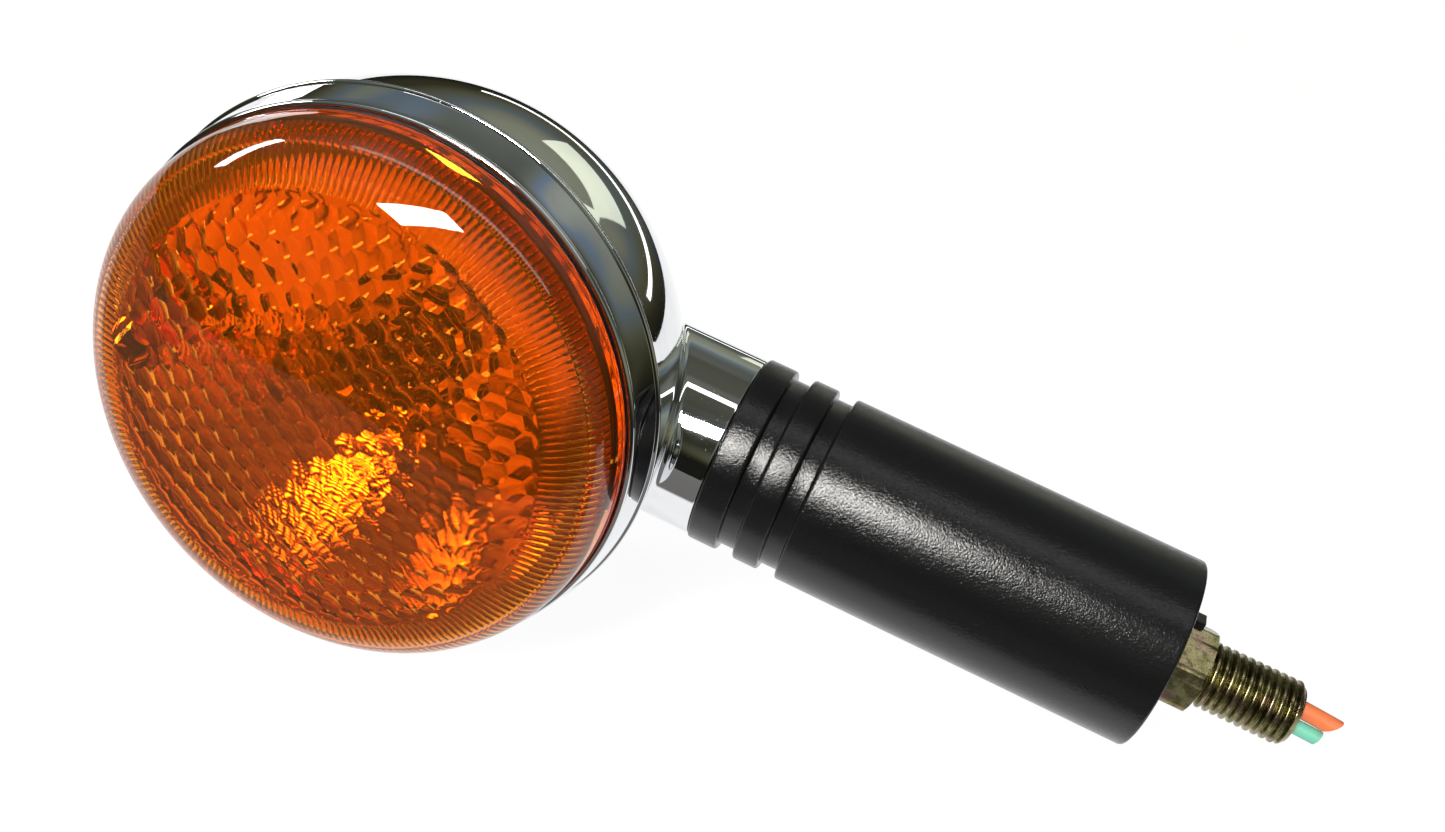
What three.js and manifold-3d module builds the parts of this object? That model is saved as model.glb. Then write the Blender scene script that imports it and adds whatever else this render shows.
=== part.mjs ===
// Motorcycle turn signal indicator, in millimetres, +Z up.
// The origin is the middle of the stud's seat face. +X runs along the stem towards the thread,
// and the lens faces -Y.
import * as THREE from 'three';
import { mergeVertices } from 'three/addons/utils/BufferGeometryUtils.js';
import Module from 'manifold-3d';

const wasm = await Module();
wasm.setup();

// Driving dimensions

const gap = 0.1; // between pieces that touch
const overrun = 1; // how far a cutting tool runs past the face it cuts

const lamp = {
  axisX: -123, // lamp axis, parallel to Y
  fixingTurn: 4, // degrees between the stem and the line from lens screw to lens hook
};

const rim = {
  baseY: -30.3, // plane of the lens's back edge
  ledgeY: -29.1, // face that the gasket sits on
  ledgeThick: 1.6,
  ledgeBore: 36.6,
  lipRadius: 0.65,
  lipOuter: 40.2,
  waistRadius: 40,
  waistY: -28.5,
  bandBack: -22.4,
  bandOuter: 41.1,
  beadRadius: 0.35,
};

const bowl = { radius: 40.35, depth: 39.1, startY: -22.17, power: 2.744, wall: 2.1 };

const lensShape = {
  radius: 39.2,
  depth: 14,
  power: 2.925,
  wall: 2.3,
  ringOuter: 39.3,
  ringThick: 1.2,
  ringEdge: 0.15,
  innerStart: 0.8, // how far in front of the ring the inner dome starts
};

const lensSkirt = { outer: 36.3, inner: 34.7, backY: -28 };

const gasketOuter = 38.8;

const lensFixing = { radius: 28.5, postRadius: 4.35, postEndY: -23.2, pilot: 2.1, pilotDepth: 12 };

const rearTube = {
  outer: 4.6,
  bore: 2.5,
  frontY: -22.6,
  headOuter: 6.4,
  headBore: 4.8,
  seatY: 1.5,
  seatThick: 2,
};

const lensScrewSize = {
  shank: 1.75,
  tipRadius: 0.95,
  tipY: -33.5,
  headRadius: 3.9,
  headHeight: 2.6,
  headEdge: 1,
  driveWidth: 1.1,
  driveDepth: 1.2,
};

const lensWasher = { inner: 2.1, outer: 4.3, thick: 0.7 };

const hook = { width: 7, reach: 1.55, backY: -25.7, clear: 0.35 };

const neck = { radius: 14.3, wall: 2.4, endX: -76, floorX: -84.6, padRadius: 9.5, padX: -95 };

const stemShape = {
  radius: 14.7,
  endX: -6,
  grooveRadius: 13.5,
  grooves: [[-71.3, -68.5], [-64.5, -61.6]],
  edge: 0.4,
  coreRadius: 8.5,
  endWall: 6,
  spigotRadius: 11.6,
  spigotLength: 3,
  recessRadius: 7.1, // round the stud's hexagon
  recessDepth: 0.5,
};

const lug = { height: 6.9, thick: 1.1, width: 2.6, length: 3 };

const stud = {
  outer: 5,
  pitch: 1.25,
  threadDepth: 0.72,
  bore: 3.2,
  acrossFlats: 12,
  hexTurn: 6,
  tipX: 14.3,
  innerEndX: -103.5,
  plain: 4.95,
  hole: 5.3,
  collar: 5.05, // plain part between the hexagon and the thread
  collarEndX: 0.3,
  chamfer: 0.7,
};

const nutSize = { acrossFlats: 14, thick: 5, x: -101.6, washerRadius: 9 };

const reflectorShape = {
  rim: 35.9,
  edge: 33.4,
  frontY: -27.7,
  focusY: -26.2,
  hole: 9.6,
  wall: 1,
  backGap: 0.25, // more wall behind the dish than at its rim
  postClear: 1,
  hookClear: 0.7,
};

const rib = { count: 4, width: 1.6, innerRadius: 34.9, frontY: -26.3, backY: -12 };

const holder = {
  bore: 7.9,
  outer: 8.6,
  frontY: -6.5,
  backY: 12.8,
  sheet: 0.8,
  flange: 9.9,
  slotTurn: 20,
  leadHole: 2.5,
  notchY: 9.6, // front of the opening for the feed terminal
  notchWidth: 5,
};

const bulb = {
  pinY: -2.8,
  pinRadius: 1,
  pinReach: 8.9,
  baseRadius: 7.5,
  baseWall: 0.4,
  endRadius: 3.9,
  frontY: -10.8,
  backY: 3.2,
  shoulder: 0.8,
};

const globe = { radius: 12, centreY: -26.6, neckRadius: 6.6, wall: 0.7 };

const travel = 1.2;

const bracket = {
  y: 0.9,
  thick: 1.2,
  width: 12,
  reach: 22.5,
  ring: 3.2,
  screwZ: 18,
  screwHole: 2.1,
  post: 3.6,
  pilotDepth: 9.5,
};

const socketScrew = { head: 3.5, crown: 2.4, height: 2.2, crownHeight: 1, shank: 1.7, tip: 1, tipY: 9 };

const earth = { ring: 3.9, thick: 0.8, tailWidth: 3, barrelX: 7, barrelEndX: 12, barrelWall: 0.6, fit: 0.25 };

const feed = { inner: 1.6, disc: 5.8, y: 10.5, thick: 0.6, tabWidth: 3.6, tabFrom: 4.4, tabTo: 12.8, turn: 45 };

const insulator = { outer: 7.6, y: 11.25, thick: 0.6 };

const spring = { turns: 2.5, radius: 4.4, wire: 0.3, fromY: 7.65, toY: 10.15 };

const contactDisc = { inner: 1.45, outer: 7.4, y: 5.7, thick: 1.6 };

const orangeRadius = 1.35;
const greenRadius = 1.15;
const orangeOffset = 1.5;
const greenOffset = -1.5;
const orangeEndX = 20.7;
const greenEndX = 19.2;
const orangeFree = 6.5; // bare length past the thread
const greenFree = 5;

const fine = 52; // sides on the large round pieces
const medium = 40;
const small = 20;
const tiny = 16;

// Finishes

function finish(color, roughness, metalness) {
  return new THREE.MeshStandardMaterial({ color, roughness, metalness });
}

const chromeFinish = finish(0xd9dbde, 0.06, 1);
const amberFinish = finish(0xf0560a, 0.15, 0);
const blackFinish = finish(0x16171a, 0.5, 0);
const gasketFinish = finish(0x1b1b1c, 0.85, 0);
const mirrorFinish = finish(0xe6e6e2, 0.12, 1);
const zincFinish = finish(0xa79a5c, 0.35, 1);
const steelFinish = finish(0xb7b9ba, 0.35, 1);
const brassFinish = finish(0xc2a04e, 0.3, 1);
const fibreFinish = finish(0x8a5a34, 0.8, 0);
const blackGlassFinish = finish(0x1a1a22, 0.25, 0);
const glassFinish = finish(0xeef2f2, 0.05, 0);
const solderFinish = finish(0x9fa2a3, 0.4, 1);
const tungstenFinish = finish(0x5a5c60, 0.45, 1);
const orangeFinish = finish(0xcc5a2a, 0.5, 0);
const greenFinish = finish(0x5fb295, 0.5, 0);

// Geometry helpers

function signedArea(outline) {
  let area = 0;
  for (let i = 0; i < outline.length; i += 1) {
    const [r0, y0] = outline[i];
    const [r1, y1] = outline[(i + 1) % outline.length];
    area += r0 * y1 - r1 * y0;
  }
  return area / 2;
}

// Revolves an outline of [radius, height] pairs about Y.
function revolve(outline, sides) {
  const ring = signedArea(outline) > 0 ? [...outline] : [...outline].reverse();
  const onAxis = ring.filter(([r]) => r === 0).length;
  if (onAxis === 2) {
    while (ring[0][0] !== 0 || ring[ring.length - 1][0] !== 0) {
      ring.push(ring.shift());
    }
  } else {
    ring.push(ring[0]);
  }
  return new THREE.LatheGeometry(ring.map(([r, y]) => new THREE.Vector2(r, y)), sides);
}

// Revolves an outline of [radius, x] pairs about X.
function revolveX(outline, sides) {
  return revolve(outline, sides).rotateZ(-Math.PI / 2);
}

function washerOutline(inner, outer, from, to) {
  return [[inner, from], [outer, from], [outer, to], [inner, to]];
}

function rodOutline(radius, from, to) {
  return [[0, from], [radius, from], [radius, to], [0, to]];
}

function arcPoints(centreR, centreY, radius, fromDeg, toDeg, steps) {
  const points = [];
  for (let i = 0; i <= steps; i += 1) {
    const angle = THREE.MathUtils.degToRad(fromDeg + ((toDeg - fromDeg) * i) / steps);
    points.push([centreR + radius * Math.cos(angle), centreY + radius * Math.sin(angle)]);
  }
  return points;
}

// A squarish dome from its base circle to the point on the axis.
function domePoints(radius, baseY, depth, power, steps) {
  const points = [];
  for (let i = 0; i < steps; i += 1) {
    const angle = (Math.PI / 2) * (i / steps);
    const r = radius * Math.cos(angle) ** (2 / power);
    points.push([r, baseY + depth * Math.sin(angle) ** (2 / power)]);
  }
  points.push([0, baseY + depth]);
  return points;
}

function box(sizeX, sizeY, sizeZ, x, y, z) {
  return new THREE.BoxGeometry(sizeX, sizeY, sizeZ).translate(x, y, z);
}

// A hexagonal prism along X, its first corner turned from +Z towards -Y.
function hexPrism(acrossFlats, fromX, toX, turnDeg) {
  const length = toX - fromX;
  const corner = acrossFlats / 2 / Math.cos(Math.PI / 6);
  const prism = new THREE.CylinderGeometry(corner, corner, length, 6);
  prism.rotateY(THREE.MathUtils.degToRad(turnDeg));
  prism.rotateZ(-Math.PI / 2);
  return prism.translate((fromX + toX) / 2, 0, 0);
}

function tube(points, radius, sides, steps) {
  const section = new THREE.Shape();
  section.absarc(0, 0, radius, 0, Math.PI * 2, false);
  const path = new THREE.CatmullRomCurve3(points.map((p) => new THREE.Vector3(...p)), false, 'centripetal');
  return new THREE.ExtrudeGeometry(section, { steps, extrudePath: path, curveSegments: sides / 2 });
}

// Solids for joining and cutting

function solid(geometry) {
  const bare = geometry.index ? geometry.toNonIndexed() : geometry.clone();
  bare.deleteAttribute('normal');
  bare.deleteAttribute('uv');
  const merged = mergeVertices(bare, 1e-4);
  const vertProperties = new Float32Array(merged.attributes.position.array);
  const triVerts = new Uint32Array(merged.index.array);
  return new wasm.Manifold(new wasm.Mesh({ numProp: 3, vertProperties, triVerts }));
}

function geometryOf(manifold) {
  const mesh = manifold.getMesh();
  const geometry = new THREE.BufferGeometry();
  geometry.setAttribute('position', new THREE.BufferAttribute(new Float32Array(mesh.vertProperties), 3));
  geometry.setIndex(new THREE.BufferAttribute(new Uint32Array(mesh.triVerts), 1));
  geometry.computeVertexNormals();
  return geometry;
}

function join(...geometries) {
  return geometryOf(geometries.map(solid).reduce((sum, next) => sum.add(next)));
}

function cut(body, ...tools) {
  return geometryOf(tools.map(solid).reduce((rest, tool) => rest.subtract(tool), solid(body)));
}

function common(first, second) {
  return geometryOf(solid(first).intersect(solid(second)));
}

// The model: pieces on the stem's axis, and pieces on the lamp's axis in a group moved to it

const indicator = new THREE.Group();
indicator.name = 'turn_signal_indicator';
const lampGroup = new THREE.Group();
lampGroup.position.x = lamp.axisX;
indicator.add(lampGroup);

function addPiece(parent, name, geometry, material) {
  const mesh = new THREE.Mesh(geometry, material);
  mesh.name = name;
  parent.add(mesh);
  return mesh;
}

// Places a shape made at the lamp's +X side on the line of the lens fixings, turned by some degrees.
function atTurn(geometry, turnDeg) {
  return geometry.rotateY(-THREE.MathUtils.degToRad(turnDeg));
}

// Moves a shape made on the stem's axis into the lamp's group.
function fromStem(geometry) {
  return geometry.translate(-lamp.axisX, 0, 0);
}

const hookTurn = lamp.fixingTurn;
const postTurn = lamp.fixingTurn + 180;

// Housing: bowl, rim band, rolled lip, neck, ribs and posts in one moulding

function bowlDome(inset, steps) {
  return domePoints(bowl.radius - inset, bowl.startY, bowl.depth - inset, bowl.power, steps);
}

function housingOuter() {
  const lipR = rim.lipOuter - rim.lipRadius;
  const lipY = rim.ledgeY;
  const lip = arcPoints(lipR, lipY, rim.lipRadius, -180, 0, 6);
  const bead = arcPoints(rim.bandOuter, rim.bandBack, rim.beadRadius, -50, 90, 3);
  return [[0, lipY], ...lip, [rim.waistRadius, rim.waistY], ...bead, ...bowlDome(0, 14)];
}

function housingCavity() {
  const ledgeBack = rim.ledgeY + rim.ledgeThick;
  const wallR = bowl.radius - bowl.wall;
  const dome = bowlDome(bowl.wall, 12);
  const rimWallR = wallR + 0.4; // the wall is thinner behind the rim band
  return [[0, rim.ledgeY - overrun], [rim.ledgeBore, rim.ledgeY - overrun], [rim.ledgeBore, ledgeBack],
    [rimWallR, ledgeBack + 0.4], [rimWallR, bowl.startY - 1], ...dome];
}

function housingRib(turnDeg) {
  const depth = rib.backY - rib.frontY;
  const wallR = bowl.radius - bowl.wall / 2;
  const length = wallR - rib.innerRadius;
  const plate = box(length, depth, rib.width, rib.innerRadius + length / 2, rib.frontY + depth / 2, 0);
  return atTurn(plate, turnDeg);
}

function bracketPost(side) {
  return common(
    revolve(rodOutline(bracket.post, bracket.y + bracket.thick, bowl.depth), small)
      .translate(0, 0, side * bracket.screwZ),
    revolve([[0, bowl.startY], ...bowlDome(bowl.wall / 2, 14)], fine),
  );
}

function buildHousing() {
  const outer = revolve(housingOuter(), fine);
  const neckRootX = neck.padX - 5; // inside the bowl's wall
  const neckRod = fromStem(revolveX(rodOutline(neck.radius, neckRootX, neck.endX), medium));
  const cavity = revolve(housingCavity(), fine);
  const neckBore = neck.radius - neck.wall;
  const neckCore = fromStem(revolveX(rodOutline(neckBore, neck.floorX, neck.endX + overrun), medium));
  const neckPad = fromStem(revolveX(rodOutline(neck.padRadius, neck.padX, neck.floorX), small));
  const studHole = fromStem(revolveX(rodOutline(stud.hole, neck.padX - overrun, neck.endX), small));
  const spotDepth = 9;
  const spotFace = fromStem(revolveX(rodOutline(neck.padRadius, neck.padX - spotDepth, neck.padX), small));
  const inside = revolve([[0, bowl.startY], ...bowlDome(bowl.wall / 2, 14)], fine);
  const tubeShape = join(
    revolve(rodOutline(rearTube.outer, rearTube.frontY, bowl.depth), small),
    revolve(rodOutline(rearTube.headOuter, rearTube.seatY - rearTube.seatThick, bowl.depth), small),
  ).translate(lensFixing.radius, 0, 0);
  const insideTall = join(
    inside,
    revolve(rodOutline(bowl.radius - bowl.wall, rearTube.frontY - overrun, bowl.startY + overrun), fine),
  );
  const rearPost = common(atTurn(tubeShape, postTurn), insideTall);
  const screwBore = atTurn(
    join(
      revolve(rodOutline(rearTube.bore, rearTube.frontY - overrun, bowl.depth), small),
      revolve(rodOutline(rearTube.headBore, rearTube.seatY, bowl.depth), small),
    ).translate(lensFixing.radius, 0, 0),
    postTurn,
  );
  const pilots = [1, -1].map((side) => revolve(rodOutline(bracket.screwHole, 0, bracket.pilotDepth), tiny)
    .translate(0, 0, side * bracket.screwZ));
  const ribs = [];
  for (let i = 0; i < rib.count; i += 1) {
    ribs.push(housingRib(45 + (360 / rib.count) * i));
  }
  const hollow = cut(join(outer, neckRod), cavity, neckCore);
  const filled = join(hollow, neckPad, rearPost, bracketPost(1), bracketPost(-1), ...ribs);
  return cut(filled, studHole, spotFace, screwBore, ...pilots);
}

addPiece(lampGroup, 'housing', buildHousing(), chromeFinish);

// Lens: dome, base ring, skirt, screw post and hook

function lensOuterDome(inset, steps) {
  const shape = lensShape;
  return domePoints(shape.radius - inset, rim.baseY, -(shape.depth - inset), shape.power, steps);
}

function buildLens() {
  const ringFront = rim.baseY - lensShape.ringThick;
  const outer = lensOuterDome(0, 14).filter(([, y]) => y < ringFront);
  const innerY = ringFront - lensShape.innerStart;
  const inner = lensOuterDome(lensShape.wall, 11).filter(([, y]) => y < innerY).reverse();
  const shell = revolve([
    ...outer.reverse(),
    [lensShape.radius, ringFront],
    [lensShape.ringOuter, ringFront + lensShape.ringEdge],
    [lensShape.ringOuter, rim.baseY],
    [lensSkirt.outer, rim.baseY],
    [lensSkirt.outer, lensSkirt.backY],
    [lensSkirt.inner, lensSkirt.backY],
    [lensSkirt.inner, ringFront],
    ...inner.reverse(),
  ], fine);
  const postFrontY = rim.baseY - lensShape.depth;
  const rod = atTurn(
    revolve(rodOutline(lensFixing.postRadius, postFrontY, lensFixing.postEndY), small)
      .translate(lensFixing.radius, 0, 0),
    postTurn,
  );
  const core = join(
    revolve(lensOuterDome(lensShape.wall / 2, 14).concat([[0, rim.baseY]]), fine),
    revolve(rodOutline(lensSkirt.inner, rim.baseY - overrun, lensFixing.postEndY + overrun), fine),
  );
  const post = common(rod, core);
  const pilot = atTurn(
    revolve(rodOutline(lensFixing.pilot, lensFixing.postEndY - lensFixing.pilotDepth, 0), tiny)
      .translate(lensFixing.radius, 0, 0),
    postTurn,
  );
  const armDepth = hook.backY - ringFront;
  const armThick = lensSkirt.outer - lensSkirt.inner;
  const armR = lensSkirt.inner + armThick / 2 - 0.15;
  const arm = box(armThick, armDepth, hook.width, armR, ringFront + armDepth / 2, 0);
  const lipFront = rim.ledgeY + rim.ledgeThick + hook.clear;
  const lipDepth = hook.backY - lipFront;
  const lipReach = hook.reach + 1; // it starts inside the arm
  const lipR = lensSkirt.outer + hook.reach - 0.15 - lipReach / 2;
  const lip = box(lipReach, lipDepth, hook.width, lipR, lipFront + lipDepth / 2, 0);
  return cut(join(shell, post, atTurn(arm, hookTurn), atTurn(lip, hookTurn)), pilot);
}

addPiece(lampGroup, 'lens', buildLens(), amberFinish);

addPiece(
  lampGroup,
  'lens_gasket',
  revolve(washerOutline(rim.ledgeBore + gap, gasketOuter, rim.baseY + gap, rim.ledgeY - gap), fine),
  gasketFinish,
);

// Lens screw and its washer, in the recess at the back of the bowl

function buildLensScrew() {
  const { shank, tipRadius, tipY, headRadius, headHeight, headEdge, driveWidth, driveDepth } = lensScrewSize;
  const headFront = rearTube.seatY + lensWasher.thick + 2 * gap;
  const headBack = headFront + headHeight;
  const body = revolve([
    [0, tipY],
    [tipRadius, tipY],
    [shank, tipY + 1],
    [shank, headFront],
    [headRadius, headFront],
    [headRadius, headBack - headEdge],
    [headRadius - headEdge, headBack],
    [0, headBack],
  ], small);
  const driveSpan = driveWidth * 4;
  const cross = join(
    box(driveWidth, 2 * driveDepth, driveSpan, 0, headBack, 0),
    box(driveSpan, 2 * driveDepth, driveWidth, 0, headBack, 0),
  );
  return atTurn(cut(body, cross).translate(lensFixing.radius, 0, 0), postTurn);
}

addPiece(lampGroup, 'lens_screw', buildLensScrew(), steelFinish);

addPiece(
  lampGroup,
  'lens_screw_washer',
  atTurn(
    revolve(
      washerOutline(
        lensWasher.inner,
        lensWasher.outer,
        rearTube.seatY + gap,
        rearTube.seatY + gap + lensWasher.thick,
      ),
      small,
    ).translate(lensFixing.radius, 0, 0),
    postTurn,
  ),
  steelFinish,
);

// Reflector: a thin dish with its focus at the filament, notched for the lens post and hook

function dishY(r, offset) {
  const { focusY, frontY, edge } = reflectorShape;
  const forward = frontY - focusY;
  const focal = -(Math.hypot(forward, edge) + forward) / 2;
  const vertexY = focusY - focal;
  return vertexY + (r * r) / (4 * focal) + offset;
}

function buildReflector() {
  const { rim: rimR, edge, frontY, hole, wall, backGap, postClear, hookClear } = reflectorShape;
  const steps = 9;
  const front = [];
  const back = [];
  for (let i = 0; i <= steps; i += 1) {
    const r = hole + ((edge - hole) * i) / steps;
    front.push([r, dishY(r, 0)]);
    back.push([r + backGap, dishY(r, wall + backGap)]);
  }
  const dish = revolve([
    ...front,
    [rimR, frontY],
    [rimR, frontY + wall],
    [edge + 2 * backGap + gap, frontY + wall],
    ...back.reverse(),
  ], medium);
  const postNotch = atTurn(
    revolve(rodOutline(lensFixing.postRadius + postClear, lensScrewSize.tipY, 0), small)
      .translate(lensFixing.radius, 0, 0),
    postTurn,
  );
  const hookNotch = atTurn(box(4, 8, hook.width + 2 * hookClear, rimR, frontY, 0), hookTurn);
  return cut(dish, postNotch, hookNotch);
}

addPiece(lampGroup, 'reflector', buildReflector(), mirrorFinish);

// Bulb holder: shell with two slots, bracket, screws and the sprung contact

function buildSocketShell() {
  const { bore, outer, frontY, backY, sheet, flange, slotTurn, leadHole, notchY, notchWidth } = holder;
  const shell = revolve([
    [bore, frontY],
    [outer, frontY],
    [outer, 0],
    [flange, 0],
    [flange, sheet],
    [outer, sheet],
    [outer, backY],
    [leadHole, backY],
    [leadHole, backY - sheet],
    [bore, backY - sheet],
  ], fine);
  const slack = 0.3;
  const pin = bulb.pinRadius;
  const windowFront = bulb.pinY - pin - slack;
  const windowBack = bulb.pinY + pin + travel + slack;
  const halfPinTurn = THREE.MathUtils.radToDeg((pin + slack) / outer);
  const slotSteps = 6;
  const toolDepth = 3;
  const toolR = outer - 0.4;
  const cuts = [];
  for (const side of [0, 180]) {
    const first = -halfPinTurn;
    const last = slotTurn + halfPinTurn;
    const stepTurn = (last - first) / slotSteps;
    for (let turn = first + stepTurn / 2; turn < last; turn += stepTurn) {
      const width = 2 * outer * Math.sin(THREE.MathUtils.degToRad(stepTurn / 2)) + 0.1;
      const depth = windowBack - windowFront;
      const piece = box(toolDepth, depth, width, toolR, windowFront + depth / 2, 0);
      cuts.push(atTurn(piece, -(turn + side)));
    }
    const legDepth = windowBack - frontY + overrun;
    const leg = box(toolDepth, legDepth, 2 * (pin + slack), toolR, windowBack - legDepth / 2, 0);
    cuts.push(atTurn(leg, -(slotTurn + side)));
  }
  const notchDepth = backY - sheet - 2 * gap - notchY + 0.2;
  const notch = atTurn(box(4, notchDepth, notchWidth, outer, notchY + notchDepth / 2, 0), feed.turn);
  return cut(shell, ...cuts, notch);
}

addPiece(lampGroup, 'socket_shell', buildSocketShell(), steelFinish);

function buildBracket() {
  const { y, thick, width, reach, ring, screwZ, screwHole } = bracket;
  const middleY = y + thick / 2;
  const bore = revolve(rodOutline(holder.outer + gap, y - overrun, y + thick + overrun), fine);
  const rounded = revolve(rodOutline(holder.outer + ring, y, y + thick), fine);
  const holes = [1, -1].map((side) => revolve(rodOutline(screwHole, y - overrun, y + thick + overrun), tiny)
    .translate(0, 0, side * screwZ));
  return cut(join(box(width, thick, 2 * reach, 0, middleY, 0), rounded), bore, ...holes);
}

addPiece(lampGroup, 'socket_bracket', buildBracket(), steelFinish);

function buildSocketScrew(side, headY) {
  const { head, crown, height, crownHeight, shank, tip, tipY } = socketScrew;
  const crownY = headY - height;
  const body = revolve([
    [0, crownY],
    [crown, crownY],
    [head, crownY + crownHeight],
    [head, headY],
    [shank, headY],
    [shank, tipY - 1],
    [tip, tipY],
    [0, tipY],
  ], small);
  const cross = join(box(1, 2, 4, 0, crownY, 0), box(4, 2, 1, 0, crownY, 0));
  return cut(body, cross).translate(0, 0, side * bracket.screwZ);
}

addPiece(lampGroup, 'socket_screw_upper', buildSocketScrew(1, bracket.y - gap), steelFinish);
addPiece(lampGroup, 'socket_screw_lower', buildSocketScrew(-1, bracket.y - earth.thick - 3 * gap), steelFinish);

function buildEarthTerminal() {
  const { ring, thick, tailWidth, barrelX, barrelEndX, barrelWall, fit } = earth;
  const middleY = bracket.y - gap - thick / 2;
  const eye = revolve(rodOutline(ring, middleY - thick / 2, middleY + thick / 2), small);
  const tailFrom = 2; // inside the eye
  const tailTo = barrelX + 1; // inside the barrel's wall
  const tail = box(tailTo - tailFrom, thick, tailWidth, (tailFrom + tailTo) / 2, middleY, 0);
  const barrelBore = greenRadius + fit;
  const barrel = revolveX(washerOutline(barrelBore, barrelBore + barrelWall, barrelX, barrelEndX), tiny)
    .translate(0, middleY, 0);
  const hole = revolve(rodOutline(bracket.screwHole, middleY - overrun, middleY + overrun), tiny);
  const mouth = revolveX(rodOutline(barrelBore, barrelX + 0.4, barrelEndX + overrun), tiny)
    .translate(0, middleY, 0);
  return cut(join(eye, tail, barrel), hole, mouth).translate(0, 0, -bracket.screwZ);
}

addPiece(lampGroup, 'earth_terminal', buildEarthTerminal(), brassFinish);

addPiece(
  lampGroup,
  'base_insulator',
  revolve(washerOutline(feed.inner, insulator.outer, insulator.y, insulator.y + insulator.thick), medium),
  fibreFinish,
);

function buildFeedTerminal() {
  const { inner, disc, y, thick, tabWidth, tabFrom, tabTo, turn } = feed;
  const plate = revolve(washerOutline(inner, disc, y, y + thick), small);
  const tab = box(tabTo - tabFrom, thick, tabWidth, (tabFrom + tabTo) / 2, y + thick / 2, 0);
  return join(plate, atTurn(tab, turn));
}

addPiece(lampGroup, 'feed_terminal', buildFeedTerminal(), brassFinish);

// The moving contact and its spring

function buildContactSpring() {
  const { turns, radius, wire, fromY, toY } = spring;
  const stepsPerTurn = 12;
  const steps = turns * stepsPerTurn;
  const points = [];
  for (let i = 0; i <= steps; i += 1) {
    const angle = (i / stepsPerTurn) * Math.PI * 2;
    points.push([radius * Math.cos(angle), fromY + ((toY - fromY) * i) / steps, radius * Math.sin(angle)]);
  }
  return tube(points, wire, 6, steps);
}

addPiece(lampGroup, 'contact_spring', buildContactSpring(), steelFinish);
addPiece(
  lampGroup,
  'contact_disc',
  revolve(
    washerOutline(contactDisc.inner, contactDisc.outer, contactDisc.y, contactDisc.y + contactDisc.thick),
    medium,
  ),
  fibreFinish,
);

addPiece(
  lampGroup,
  'contact_rivet',
  revolve([[0, 4.9], [2.6, 4.9], [2.9, 5.2], [2.9, 5.6], [1.35, 5.6], [1.35, 8.3], [0, 8.3]], small),
  brassFinish,
);

// Bulb: base with pins, insulator, solder contact, glass, stem glass, wires and filament

function buildBulbBase() {
  const { baseRadius, baseWall, endRadius, frontY, backY, shoulder, pinY, pinRadius, pinReach } = bulb;
  const shell = revolve([
    [baseRadius - baseWall, frontY],
    [baseRadius, frontY],
    [baseRadius, backY - shoulder],
    [baseRadius - shoulder, backY],
    [endRadius, backY],
    [endRadius, backY - shoulder + 0.2],
    [baseRadius - baseWall, backY - shoulder - 0.1],
  ], medium);
  const pins = [1, -1].map((side) => {
    const reach = pinReach - baseRadius + baseWall / 2;
    const from = side > 0 ? baseRadius - baseWall / 2 : -pinReach;
    return revolveX(rodOutline(pinRadius, from, from + reach), 12).translate(0, pinY, 0);
  });
  return join(shell, ...pins);
}

addPiece(lampGroup, 'bulb_base', buildBulbBase(), brassFinish);

addPiece(
  lampGroup,
  'bulb_insulator',
  revolve(washerOutline(1.9, bulb.endRadius - 0.2, bulb.backY - 1.4, bulb.backY + 0.3), small),
  blackGlassFinish,
);

addPiece(
  lampGroup,
  'bulb_contact',
  revolve([[0, 1.4], [1.7, 1.4], [1.7, 3.6], [2.4, 3.6], [2.2, 4.2], [1.2, 4.6], [0, 4.6]], small),
  solderFinish,
);

function buildBulbGlass() {
  const { radius, centreY, neckRadius, wall } = globe;
  const rootY = bulb.frontY + 3.4;
  const neckTurn = THREE.MathUtils.radToDeg(Math.acos(neckRadius / radius)) - 8;
  const flareR = neckRadius + 0.9;
  const flareY = bulb.frontY - 3.2;
  const outer = arcPoints(0, centreY, radius, -90, neckTurn, 8);
  const inner = arcPoints(0, centreY, radius - wall, -90, neckTurn, 7).reverse();
  outer[0][0] = 0;
  inner[inner.length - 1][0] = 0;
  return revolve([
    ...outer,
    [flareR, flareY],
    [neckRadius, bulb.frontY - 1],
    [neckRadius, rootY],
    [neckRadius - wall, rootY],
    [neckRadius - wall, bulb.frontY - 1],
    [flareR - wall, flareY],
    ...inner,
  ], 28);
}

addPiece(lampGroup, 'bulb_glass', buildBulbGlass(), glassFinish);

const stemGlassFront = -17;

const stemGlassOutline = [
  [0, stemGlassFront],
  [1.4, stemGlassFront],
  [1.6, -14],
  [3.2, -9],
  [5.2, -7.6],
  [5.2, -7],
  [0, -7],
];

addPiece(lampGroup, 'bulb_stem_glass', revolve(stemGlassOutline, small), glassFinish);

function supportWire(side) {
  return tube([
    [0, stemGlassFront - gap, side * 0.8],
    [0, stemGlassFront - 3, side * 1.6],
    [0, globe.centreY + 2, side * 2.9],
    [0, globe.centreY + 0.4, side * 3],
  ], 0.3, 6, 8);
}

addPiece(lampGroup, 'bulb_support_wire_upper', supportWire(1), steelFinish);
addPiece(lampGroup, 'bulb_support_wire_lower', supportWire(-1), steelFinish);

addPiece(
  lampGroup,
  'bulb_filament',
  tube([[0, globe.centreY, -3.3], [0, globe.centreY - 0.9, 0], [0, globe.centreY, 3.3]], 0.35, 6, 8),
  tungstenFinish,
);

// Stem: hollow sleeve with a spigot in the neck, two grooves and a locating lug

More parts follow.
